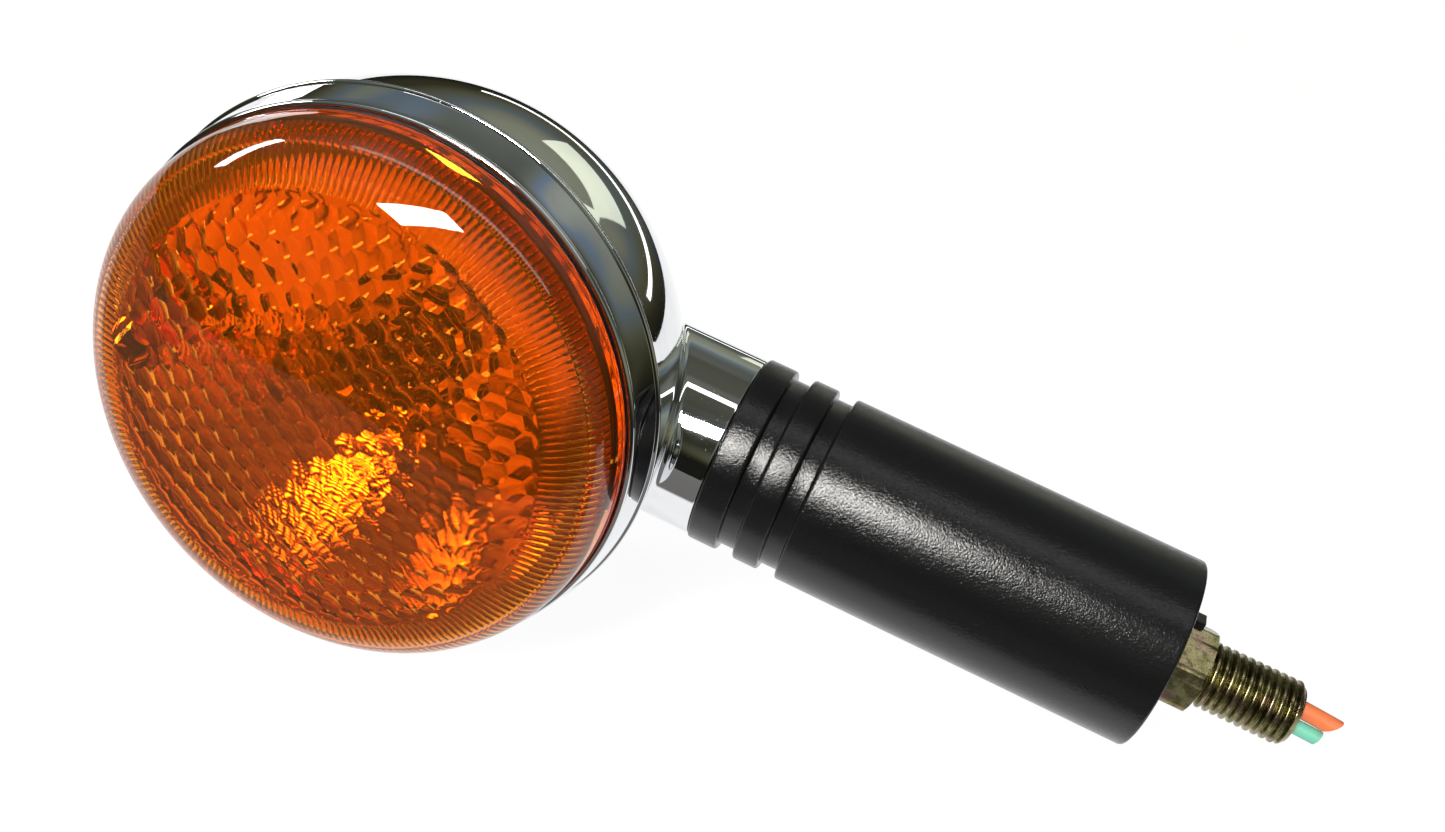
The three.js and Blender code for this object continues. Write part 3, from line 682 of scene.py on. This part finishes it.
# how far each spot is from the middle of its lenslet
def cellDistance(x, z):
    a, b = np.array(lens["cellA"]), np.array(lens["cellB"])
    frameInverse = np.linalg.inv(np.array([a, b]).T)
    part = frameInverse @ np.array([x, z])
    near = np.full(x.shape, 1e9)
    for i in (0, 1):
        for j in (0, 1):
            u, v = np.floor(part[0]) + i, np.floor(part[1]) + j
            gap = np.hypot(x - u * a[0] - v * b[0], z - u * a[1] - v * b[1])
            near = np.minimum(near, gap)
    return near


# the honeycomb of lenslets, as a net that is finer than its cells
def patternDisc(rimSpots):
    a, b = np.array(lens["cellA"]), np.array(lens["cellB"])
    stepOne = (a + b) / (3 * lens["cellSteps"])
    stepTwo = (2 * a - b) / (3 * lens["cellSteps"])
    reach = 120
    i, j = np.meshgrid(np.arange(-reach, reach + 1), np.arange(-reach, reach + 1))
    spots = i.reshape(-1, 1) * stepOne + j.reshape(-1, 1) * stepTwo
    far = np.hypot(spots[:, 0], spots[:, 1])
    spots = spots[far < lens["patternRadius"] - lens["patternGap"]]
    flat = [Vector(s) for s in rimSpots] + [Vector((float(s[0]), float(s[1]))) for s in spots]
    made = delaunay_2d_cdt(flat, [], [], 0, 1e-6)
    x = np.array([v.x for v in made[0]])
    z = np.array([v.y for v in made[0]])
    r = np.hypot(x, z)
    reachOut = np.hypot(*((a + b) / 3))
    height = lens["cellHeight"] * (1 - (cellDistance(x, z) / reachOut) ** 2)
    edge = np.clip((lens["patternRadius"] - r) / lens["patternFade"], 0, 1)
    y = lensInnerY(r) + height * edge
    return [tuple(p) for p in np.stack([x, y, z], 1)], [tuple(f) for f in made[2]]


def lensOutside():
    base, ringY = lens["base"], lens["base"] - lens["ringDepth"]
    rows = [p for p in dome(lens["outer"], base, -lens["depth"], lens["power"], 42,
                            fromTurn=math.pi / 2, toTurn=0) if p[1] < ringY - 0.02]
    rows += [(39.2, ringY), (39.28, ringY + 0.06), (39.3, ringY + 0.2), (39.3, base - 0.15)]
    rows += [(39.2, base), (36.3, base), (36.3, -28.15), (36.15, -28), (34.85, -28)]
    rows += [(34.7, -28.15), (34.7, ringY)]
    return [ring(r, y, lens["sides"]) if r > 1e-6 else [(0, y, 0)] for r, y in rows]


def lensInside():
    inner = lens["outer"] - lens["wall"]
    depth, power = lens["depth"] - lens["wall"], lens["power"]
    corner, step = lens["cornerTurn"], lens["cornerStep"]
    edgeTurn = math.acos((lens["patternRadius"] / inner) ** (power / 2))
    turns = [*np.linspace(lens["wallFrom"], corner, 6), corner + step]
    turns += [*np.linspace(corner + lens["frontGap"], edgeTurn, 13)]
    columns = lens["sides"] * 2
    around = 2 * np.pi * np.arange(columns) / columns
    perFlute = columns // lens["flutes"]
    place = np.arange(columns) % perFlute
    offCrest = np.minimum(place, perFlute - place) / (perFlute / 2)
    rib = 1 - offCrest ** 2  # round ribs with sharp valleys between them
    fadeIn, fadeOut = lens["fluteFade"]
    rings = []
    for t in turns:
        r = inner * math.cos(t) ** (2 / power)
        y = lens["base"] - depth * math.sin(t) ** (2 / power)
        near = min(1, (t - turns[0]) / fadeIn, (turns[-1] - t) / fadeOut)
        swing = (lens["fluteDeep"] if t <= corner else lens["fluteShallow"]) * near
        thick = min(max((t - corner) / step, 0), 1) * max(1 - (t - corner) / lens["cornerFade"], 0)
        extra = lens["cornerThick"] * thick
        slope = Vector((math.cos(t) ** (2 - 2 / power) / inner, math.sin(t) ** (2 - 2 / power) / depth))
        slope.normalize()
        spots = r - slope.x * (swing * rib + extra)
        lift = y + slope.y * (swing * rib + extra)
        rings.append([(float(q * math.cos(k)), float(h), float(q * math.sin(k)))
                      for q, h, k in zip(spots, lift, around)])
    return rings


# the post's front follows the wall and stays within it
def lensPost():
    points, faces = turned(lens["post"], 72)
    front = lens["post"][0][1]
    ends = [float(lensInnerY(math.hypot(x + fixingRadius, z))) - lens["postSink"] for x, _, z in points]
    points = [(x, end if y == front else y, z) for (x, y, z), end in zip(points, ends)]
    return onLamp((points, faces), postTurn, fixingRadius)


def buildLens():
    rings = lensOutside() + lensInside()
    points, faces = skin(rings)
    discPoints, discFaces = patternDisc([(p[0], p[2]) for p in rings[-1]])
    offset = len(points)
    points = points + discPoints
    faces = faces + [tuple(offset + k for k in f) for f in discFaces]
    piece = build("lens_amber", *onLamp((points, faces)), merge=2e-3)
    combine(piece, "UNION", lensPost())
    combine(piece, "UNION", *[onLamp(block(*lens[part]), hookTurn) for part in ("hookArm", "hookLip")])
    combine(piece, "DIFFERENCE", onLamp(turned(lens["pilot"], 40), postTurn, fixingRadius))
    return dress(piece, amber, "lamp_body", "amber_lens", ["lens"], angle=24)


buildLens()
print("lens built")

# gasket, lens screw and reflector


def buildGasket():
    rows = [(36.7, -30.2, 0.2), (38.8, -30.2, 0.3), (38.8, -29.2, 0.3), (36.7, -29.2, 0.2)]
    piece = build("gasket_ring", *onLamp(turned(softened(rows), 192)))
    dress(piece, rubber, "lamp_body", "gasket_rubber", ["lens_gasket"], angle=60)


def buildLensScrew():
    back, head = 5.0, 3.9
    rows = [(0, -33.5), (0.95, -33.5), (1.75, -32.5), (1.75, 2.4), (head, 2.4, 0.2), (head, back - 1.6, 0.5),
            (3.2, back - 0.45, 0.6), (1.9, back, 0.4), (0, back)]
    piece = build("screw_lens", *onLamp(turned(softened(rows, looped=False), 64), postTurn, fixingRadius))
    for sizes in ((1.1, 2.6, 4.4), (4.4, 2.6, 1.1)):
        combine(piece, "DIFFERENCE", onLamp(block(sizes, (0, back, 0)), postTurn, fixingRadius))
    edges = piece.modifiers.new("edges", "BEVEL")
    edges.width = 0.08 * mm
    edges.segments = 2
    edges.limit_method = "ANGLE"
    edges.angle_limit = math.radians(50)
    dress(piece, steel, "lamp_body", "steel", ["lens_screw"], angle=40)


def dishY(r):
    forward = dish["front"] - dish["focus"]
    focal = -(math.hypot(forward, dish["edge"]) + forward) / 2
    return dish["focus"] - focal + r * r / (4 * focal)


def buildReflector():
    steps = 44
    radii = [dish["hole"] + (dish["edge"] - dish["hole"]) * k / steps for k in range(steps + 1)]
    front = [(r, dishY(r)) for r in radii]
    back = [(r + 0.25, dishY(r) + dish["wall"] + 0.25) for r in reversed(radii)]
    outline = front + [(dish["edge"] + 0.3, dish["front"] - 0.02), (dish["rim"] - 0.1, dish["front"]),
                       (dish["rim"], dish["front"] + 0.1), (dish["rim"], dish["front"] + dish["wall"]),
                       (dish["edge"] + 0.6, dish["front"] + dish["wall"])] + back
    piece = build("reflector_dish", *onLamp(turned(outline, 216)))
    combine(piece, "DIFFERENCE", onLamp(rod(*dish["notch"], 64), postTurn, fixingRadius))
    combine(piece, "DIFFERENCE", onLamp(block((4, 8, 8.4), (35.9, dish["front"], 0)), hookTurn))
    dress(piece, mirror, "lamp_body", "reflector_mirror", ["reflector"], angle=40)


buildGasket()
buildLensScrew()
buildReflector()
print("gasket, lens screw and reflector built")

# stem

stem = {
    "radius": 14.7,
    "start": -75.9,
    "end": -6.0,
    "grooves": [(-71.3, -68.5), (-64.5, -61.6)],
    "grooveRadius": 13.5,
    "edge": 0.45,
    "spigot": 11.6,  # the short step that enters the neck
    "wide": 8.5,  # radii of the hole, from the neck to the stud's hexagon
    "narrow": 5.3,
    "pocket": 7.1,
    "lug": ((4, 2.6, 1.1), (-5, 0, 7.45)),
}


def buildStem():
    r, start, end = stem["radius"], stem["start"], stem["end"]
    wide, narrow, pocket, spigot = stem["wide"], stem["narrow"], stem["pocket"], stem["spigot"]
    rows = [(wide, start - 3, 0.2), (spigot, start - 3, 0.3), (spigot, start), (r, start, stem["edge"])]
    for first, last in stem["grooves"]:
        rows += [(r, first, stem["edge"]), (stem["grooveRadius"], first + 0.12, 0.25)]
        rows += [(stem["grooveRadius"], last - 0.12, 0.25), (r, last, stem["edge"])]
    rows += [(r, end, 0.6), (pocket, end, 0.15), (pocket, end - 0.5, 0.1), (narrow, end - 0.5, 0.1)]
    rows += [(narrow, end - 6), (wide, end - 8)]
    piece = build("stem_sleeve", *turned(softened(rows), 192, "X"))
    combine(piece, "UNION", block(*stem["lug"]))
    dress(piece, black, "lamp_body", "black_stem", ["stem"], angle=40)


buildStem()
print("stem built")

# stud with its hexagon and thread

stud = {
    "outer": 5.0,
    "root": 4.28,
    "pitch": 1.25,
    "bore": 3.2,
    "plain": 4.95,
    "flats": 12.0,
    "hexTurn": 6.0,
    "innerEnd": -103.5,
    "tip": 14.3,
    "threadStart": 0.3,
    "hexEdge": 6.2,  # the chamfer starts at this radius
    "hexFace": 6.15,
    "chamfer": 0.62,
    "sides": 96,
    "perPitch": 14,
}


def hexRadius(turn):
    corner = math.radians(90 + stud["hexTurn"])
    local = (turn - corner) % (math.pi / 3) - math.pi / 6
    return stud["flats"] / 2 / math.cos(local)


def threadRadius(x, turn):
    phase = ((x - stud["pitch"] * turn / (2 * math.pi)) / stud["pitch"]) % 1.0
    slant = abs(phase - 0.5) * 2  # 0 on the crest, 1 in the root
    share = min(max((0.9 - slant) / 0.72, 0), 1)
    crest = stud["root"] + (stud["outer"] - stud["root"]) * math.sin(share * math.pi / 2) ** 1.1
    lead = stud["root"] + 0.12 + (x - stud["threadStart"]) * 1.1
    tip = stud["root"] - 0.1 + (stud["tip"] - x) * 0.95
    return max(min(crest, lead, tip), stud["root"] - 0.1)


def buildStud():
    sides, perPitch = stud["sides"], stud["perPitch"]
    around = [2 * math.pi * i / sides for i in range(sides)]

    def hexRing(x, cap):
        radii = [min(hexRadius(t), cap) for t in around]
        return [(x, r * math.cos(t), r * math.sin(t)) for r, t in zip(radii, around)]

    def chamferRing(at, direction):
        spots = []
        for t in around:
            h = hexRadius(t)
            x = at - direction * max(h - stud["hexEdge"], 0) * stud["chamfer"]
            spots.append((x, h * math.cos(t), h * math.sin(t)))
        return spots

    low = 0.1 + stem["end"]
    rings = [ring(stud["bore"], stud["tip"] - 0.35, sides, "X"),
             ring(stud["bore"], stud["innerEnd"], sides, "X")]
    rings += [ring(stud["plain"] - 0.4, stud["innerEnd"], sides, "X"),
              ring(stud["plain"], stud["innerEnd"] + 0.4, sides, "X"), ring(stud["plain"], low, sides, "X")]
    rings += [hexRing(low, stud["hexEdge"]), chamferRing(low, -1),
              chamferRing(-0.02, 1), hexRing(0, stud["hexFace"])]
    rings += [ring(stud["outer"], 0, sides, "X"), ring(stud["root"] + 0.12, stud["threadStart"], sides, "X")]
    points, faces = skin(rings)
    length = stud["tip"] - stud["threadStart"]
    rows = int(length / stud["pitch"] * perPitch) + 2 * perPitch
    offset = len(points)
    for i, turn in enumerate(around):
        for j in range(rows + 1):
            x = stud["threadStart"] + stud["pitch"] * ((j - perPitch) / perPitch + i / sides)
            x = min(max(x, stud["threadStart"]), stud["tip"])
            r = threadRadius(x, turn)
            points.append((x, r * math.cos(turn), r * math.sin(turn)))
    perColumn = rows + 1
    for i in range(sides):
        for j in range(rows):
            a = offset + i * perColumn + j
            if i < sides - 1:
                b = a + perColumn
                faces.append((a, a + 1, b + 1, b))
            elif j + perPitch + 1 <= rows:
                b = offset + j + perPitch
                faces.append((a, a + 1, b + 1, b))
    tipRing = ring(threadRadius(stud["tip"], 0), stud["tip"], sides, "X")
    end, endFaces = skin([tipRing, ring(stud["bore"] + 0.35, stud["tip"], sides, "X"),
                          ring(stud["bore"], stud["tip"] - 0.35, sides, "X")])
    offset = len(points)
    points += end
    faces += [tuple(offset + k for k in f) for f in endFaces]
    piece = build("stud_threaded", points, faces, merge=5e-3)
    dress(piece, zinc, "lamp_body", "zinc_steel", ["mounting_stud"], angle=35)


buildStud()
print("stud built")

# leads

leads = {
    "orange": {
        "radius": 1.35,
        "material": orangePvc,
        "route": [(-113.6, 10.8, 9.4), (-111.2, 10.1, 11.3), (-107.6, 7.6, 11), (-106.2, 3.6, 7.6),
                  (-105.9, 0.9, 3.8), (-104.6, 0.1, 1.8), (-103.2, 0, 1.5), (-101, 0, 1.5), (-60, 0, 1.5),
                  (0, 0, 1.5), (14.2, 0, 1.5), (20.7, -0.2, 1.15)],
        "slant": 2.3,
    },
    "green": {
        "radius": 1.15,
        "material": greenPvc,
        "route": [(-113, 0.4, -18), (-110.6, 0.4, -18), (-108, 0.5, -16), (-106.3, 0.6, -11),
                  (-106, 0.4, -6), (-104.8, 0, -2), (-103.2, 0, -1.5), (-101, 0, -1.5), (-60, 0, -1.5),
                  (0, 0, -1.5), (14.2, 0, -1.5), (19.2, -0.1, -1.65)],
        "slant": 0.7,
    },
}


# a smooth path through the points, eased so that uneven gaps don't overshoot
def smoothPath(route, perSpan):
    spots = [Vector(p) for p in route]
    spots = [2 * spots[0] - spots[1]] + spots + [2 * spots[-1] - spots[-2]]
    path = []
    for k in range(1, len(spots) - 2):
        p0, p1, p2, p3 = spots[k - 1:k + 3]
        t0, t1 = 0.0, (p1 - p0).length ** 0.5
        t2 = t1 + (p2 - p1).length ** 0.5
        t3 = t2 + (p3 - p2).length ** 0.5
        for i in range(perSpan):
            t = t1 + (t2 - t1) * i / perSpan
            a1 = p0 * (t1 - t) / (t1 - t0) + p1 * (t - t0) / (t1 - t0)
            a2 = p1 * (t2 - t) / (t2 - t1) + p2 * (t - t1) / (t2 - t1)
            a3 = p2 * (t3 - t) / (t3 - t2) + p3 * (t - t2) / (t3 - t2)
            b1 = a1 * (t2 - t) / (t2 - t0) + a2 * (t - t0) / (t2 - t0)
            b2 = a2 * (t3 - t) / (t3 - t1) + a3 * (t - t1) / (t3 - t1)
            path.append(b1 * (t2 - t) / (t2 - t1) + b2 * (t - t1) / (t2 - t1))
    return path + [spots[-2]]


# a round wire along a path, as rings
def sweep(path, radius, sides):
    rings = []
    side = Vector((0, 0, 1))
    for k, spot in enumerate(path):
        ahead = (path[min(k + 1, len(path) - 1)] - path[max(k - 1, 0)]).normalized()
        side = (side - ahead * side.dot(ahead)).normalized()
        other = ahead.cross(side)
        rings.append([tuple(spot + (side * math.cos(2 * math.pi * i / sides)
                                    + other * math.sin(2 * math.pi * i / sides)) * radius)
                      for i in range(sides)])
    return rings


# a swept wire with closed ends
def wireShape(path, radius, sides):
    return skin([[tuple(path[0])]] + sweep(path, radius, sides) + [[tuple(path[-1])]])


def buildLead(colour, setup):
    path = smoothPath(setup["route"], 14)
    rings = sweep(path, setup["radius"], 28)
    tip = path[-1]
    ahead = (path[-1] - path[-2]).normalized()
    last = []
    for spot in rings[-1]:  # the cut slopes back from the top to the bottom
        height = (Vector(spot) - tip).z / setup["radius"]
        last.append(tuple(Vector(spot) - ahead * setup["slant"] * (0.5 - 0.5 * height)))
    keep = [r for k, r in enumerate(rings[:-1]) if (tip - path[k]).length > setup["slant"] + 0.4]
    rings = [[tuple(path[0])]] + keep + [last]
    middle = sum((Vector(s) for s in last), Vector()) / len(last)
    for share, sink in ((0.92, -0.06), (0.5, -0.05), (0.46, -0.3)):
        rings.append([tuple(middle + (Vector(s) - middle) * share + ahead * (sink + 0.06)) for s in last])
    rings.append([tuple(middle - ahead * 0.25)])
    piece = build("lead_" + colour + "_sheath", *skin(rings))
    dress(piece, setup["material"], "lamp_body", colour + "_pvc", ["lead_" + colour], angle=50)


for leadColour, leadSetup in leads.items():
    buildLead(leadColour, leadSetup)
print("leads built")

# bulb, filament and contact spring

globe = {
    "radius": 12.0,
    "centre": -26.6,
    "neck": 6.6,
    "wall": 0.7,
    "root": -7.4,
    "shoulder": (7.5, -14.0),  # radius and place
    "throat": -11.8,
}
filament = {"turns": 26, "perTurn": 12, "wire": 0.06, "coil": 0.27, "half": 3.3, "bow": 0.9}
spring = {"turns": 2.5, "perTurn": 36, "wire": 0.3, "coil": 4.4, "low": 7.65, "high": 10.15}


def buildBulbGlass():
    centre, neck, wall = globe["centre"], globe["neck"], globe["wall"]
    top = math.degrees(math.acos(neck / globe["radius"])) - 8
    outer = arc(0, centre, globe["radius"], -90, top, 40)
    inner = arc(0, centre, globe["radius"] - wall, top, -90, 40)
    outer[0], inner[-1] = (0, outer[0][1]), (0, inner[-1][1])
    (wide, at), throat, rounding = globe["shoulder"], globe["throat"], 0.9
    join = [(wide, at, rounding), (neck, throat, rounding), (neck, globe["root"])]
    join += [(neck - wall, globe["root"]), (neck - wall, throat, rounding), (wide - wall, at, rounding)]
    rows = [(*p, 0) for p in outer] + join + [(*p, 0) for p in inner]
    piece = build("bulb_envelope", *onLamp(turned(softened(rows, looped=False), 96)))
    dress(piece, glass, "bulb", "clear_glass", ["bulb_glass"], angle=60)


def buildFilament():
    perTurn, coil, half = filament["perTurn"], filament["coil"], filament["half"]
    steps = filament["turns"] * perTurn
    path = []
    for k in range(steps + 1):
        turn = 2 * math.pi * k / perTurn
        z = -half + 2 * half * (k / steps)
        y = globe["centre"] - filament["bow"] * (1 - (z / half) ** 2)
        path.append(Vector((lampX + coil * math.cos(turn), y + coil * math.sin(turn), z)))
    piece = build("bulb_filament_coil", *wireShape(path, filament["wire"], 6))
    dress(piece, tungsten, "bulb", "tungsten", ["bulb_filament"], angle=60)


def buildSpring():
    perTurn, coil, low, high = spring["perTurn"], spring["coil"], spring["low"], spring["high"]
    steps = spring["turns"] * perTurn
    path = []
    for k in range(int(steps) + 1):
        turn = 2 * math.pi * k / perTurn
        y = low + (high - low) * (k / steps)
        path.append(Vector((lampX + coil * math.cos(turn), y, coil * math.sin(turn))))
    piece = build("contact_spring_coil", *wireShape(path, spring["wire"], 12))
    piece.data.materials.append(steel)
    piece.data.polygons.foreach_set("use_smooth", [True] * len(piece.data.polygons))
    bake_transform(piece)
    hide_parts("contact_spring")


buildBulbGlass()
buildFilament()
buildSpring()
print("bulb glass, filament and spring built")

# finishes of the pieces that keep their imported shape

keptFinish = {
    "lens_screw_washer": steel,
    "socket_shell": steel,
    "socket_bracket": steel,
    "socket_screw_upper": steel,
    "socket_screw_lower": steel,
    "earth_terminal": brass,
    "feed_terminal": brass,
    "contact_rivet": brass,
    "bulb_base": brass,
    "base_insulator": fibre,
    "contact_disc": fibre,
    "bulb_insulator": blackGlass,
    "bulb_contact": solder,
    "bulb_stem_glass": glass,
    "bulb_support_wire_upper": steel,
    "bulb_support_wire_lower": steel,
    "stud_nut": zinc,
    "stud_washer": zinc,
}

for nodeName, nodeMaterial in keptFinish.items():
    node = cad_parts[nodeName]
    if not node.material_slots:
        node.data.materials.append(nodeMaterial)
    for holder in node.material_slots:
        holder.material = nodeMaterial
print("kept pieces finished")

# floor, cards and room light

floorSetup = {"low": (-0.75, -0.12), "high": (0.45, 0.75), "glow": 0.93, "glareEnd": -0.037, "fade": 0.005}


def addFloor(setup):
    height = housingLow.z
    (x0, y0), (x1, y1) = setup["low"], setup["high"]
    mesh = bpy.data.meshes.new("floor")
    corners = [(x0, y0, height), (x1, y0, height), (x1, y1, height), (x0, y1, height)]
    mesh.from_pydata(corners, [], [(0, 1, 2, 3)])
    floor = bpy.data.objects.new("floor", mesh)
    scene.collection.objects.link(floor)
    material, look = newLook("pale_paper")
    # the floor's front glows only for the camera and through the lens, so no glare lies over the dome
    along = look.node("ShaderNodeSeparateXYZ", {}, {"Vector": look.place()}, out="Y")
    front = look.span(along, setup["glareEnd"] - setup["fade"], setup["glareEnd"], 1.0, 0.0)
    seen = look.node("ShaderNodeLightPath", out="Is Camera Ray")
    through = look.node("ShaderNodeLightPath", out="Is Transmission Ray")
    hidden = front * (1.0 - seen) * (1.0 - through)
    closeLook(look, {
        "Base Color": look.mix(look.noise(40, 2), (0.12, 0.12, 0.12), (0.11, 0.11, 0.11)),
        "Roughness": 0.9,
        "Specular IOR Level": 0.0,
        "Emission Color": look.mix(hidden, (1.0, 1.0, 1.0), (0.03, 0.03, 0.03)),
        "Emission Strength": setup["glow"],
    })
    mesh.materials.append(material)


# direction from the lamp, distance, width and height in metres, brightness, tint, which way is up
cards = {
    "window_left": ((-0.88, -0.25, 0.37), 1.5, 0.12, 0.66, 40, (1, 1, 1), (0.06, 0.22, 0.37)),
    "window_front": ((-0.14, -0.83, 0.53), 1.5, 0.22, 0.80, 64, (1, 0.98, 0.94), (0.41, 0.23, 0.50)),
    "overhead": ((0.07, -0.20, 0.97), 1.0, 1.60, 0.10, 3, (1, 1, 1), (0, 1, 0.2)),
    "back_card": ((0.09, 0.94, 0.32), 1.4, 0.5, 0.24, 0.8, (0.95, 1, 0.8), (0, 0, 1)),
    "back_low": ((0.05, 0.99, 0.09), 1.4, 1.2, 0.05, 2.2, (1, 1, 1), (0, 0, 1)),
    "back_left": ((-0.69, 0.72, 0.05), 1.4, 0.30, 0.3, 2.2, (1, 1, 1), (0, 0, 1)),
}


def addCard(name, direction, distance, width, height, brightness, tint, upward):
    data = bpy.data.lights.new(name, "AREA")
    data.shape = "RECTANGLE"
    data.size = width
    data.size_y = height
    data.energy = brightness * math.pi * width * height
    data.color = tint
    light = bpy.data.objects.new(name, data)
    scene.collection.objects.link(light)
    toward = Vector(direction).normalized()
    up = Vector(upward)
    up = (up - toward * up.dot(toward)).normalized()
    right = up.cross(toward)
    axes = Matrix((right, up, toward)).transposed().to_4x4()
    middle = Vector((lampX * mm, -0.02, 0))
    light.matrix_world = Matrix.Translation(middle + toward * distance) @ axes
    light.visible_camera = False


roomSetup = {
    "levels": [(0.0, (0.04, 0.04, 0.04)), (0.47, (0.03, 0.03, 0.028)), (0.53, (0.09, 0.085, 0.055)),
               (0.7, (0.10, 0.105, 0.09)), (0.86, (0.15, 0.16, 0.16)), (1.0, (0.26, 0.26, 0.26))],
    "tones": [(0.40, (0.09, 0.09, 0.07)), (0.49, (0.22, 0.23, 0.20)), (0.56, (0.26, 0.32, 0.43)),
              (0.60, (0.42, 0.43, 0.40)), (0.66, (0.56, 0.56, 0.48))],
    "patches": 1.7,
    "seen": (0.25, 0.25, 0.25),
    "strength": 4.0,
}


# the camera sees an even white room, and the lamp reflects an uneven one
def addRoom(setup):
    world = bpy.data.worlds.new("room")
    scene.world = world
    world.use_nodes = True
    look = Look(world.node_tree)
    direction = look.node("ShaderNodeTexCoord", out="Generated")
    level = look.node("ShaderNodeSeparateXYZ", {}, {"Vector": direction}, out="Z") * 0.5 + 0.5
    room = look.node("ShaderNodeValToRGB", {"stops": setup["levels"]}, {"Fac": level})
    sockets = {"Vector": direction, "Scale": setup["patches"], "Detail": 1.0, "Roughness": 0.4}
    patches = look.node("ShaderNodeTexNoise", {"noise_dimensions": "3D"}, sockets)
    shade = look.node("ShaderNodeValToRGB", {"stops": setup["tones"]}, {"Fac": patches})
    room = look.mix(1.0, room, shade, way="MULTIPLY")
    seen = look.node("ShaderNodeLightPath", out="Is Camera Ray")
    colour = look.mix(seen, room, setup["seen"])
    sky = look.node("ShaderNodeBackground", {}, {"Color": colour, "Strength": setup["strength"]})
    look.node("ShaderNodeOutputWorld", {}, {"Surface": sky})


addFloor(floorSetup)
for cardName, cardSetup in cards.items():
    addCard(cardName, *cardSetup)
addRoom(roomSetup)
print("floor and lights placed")
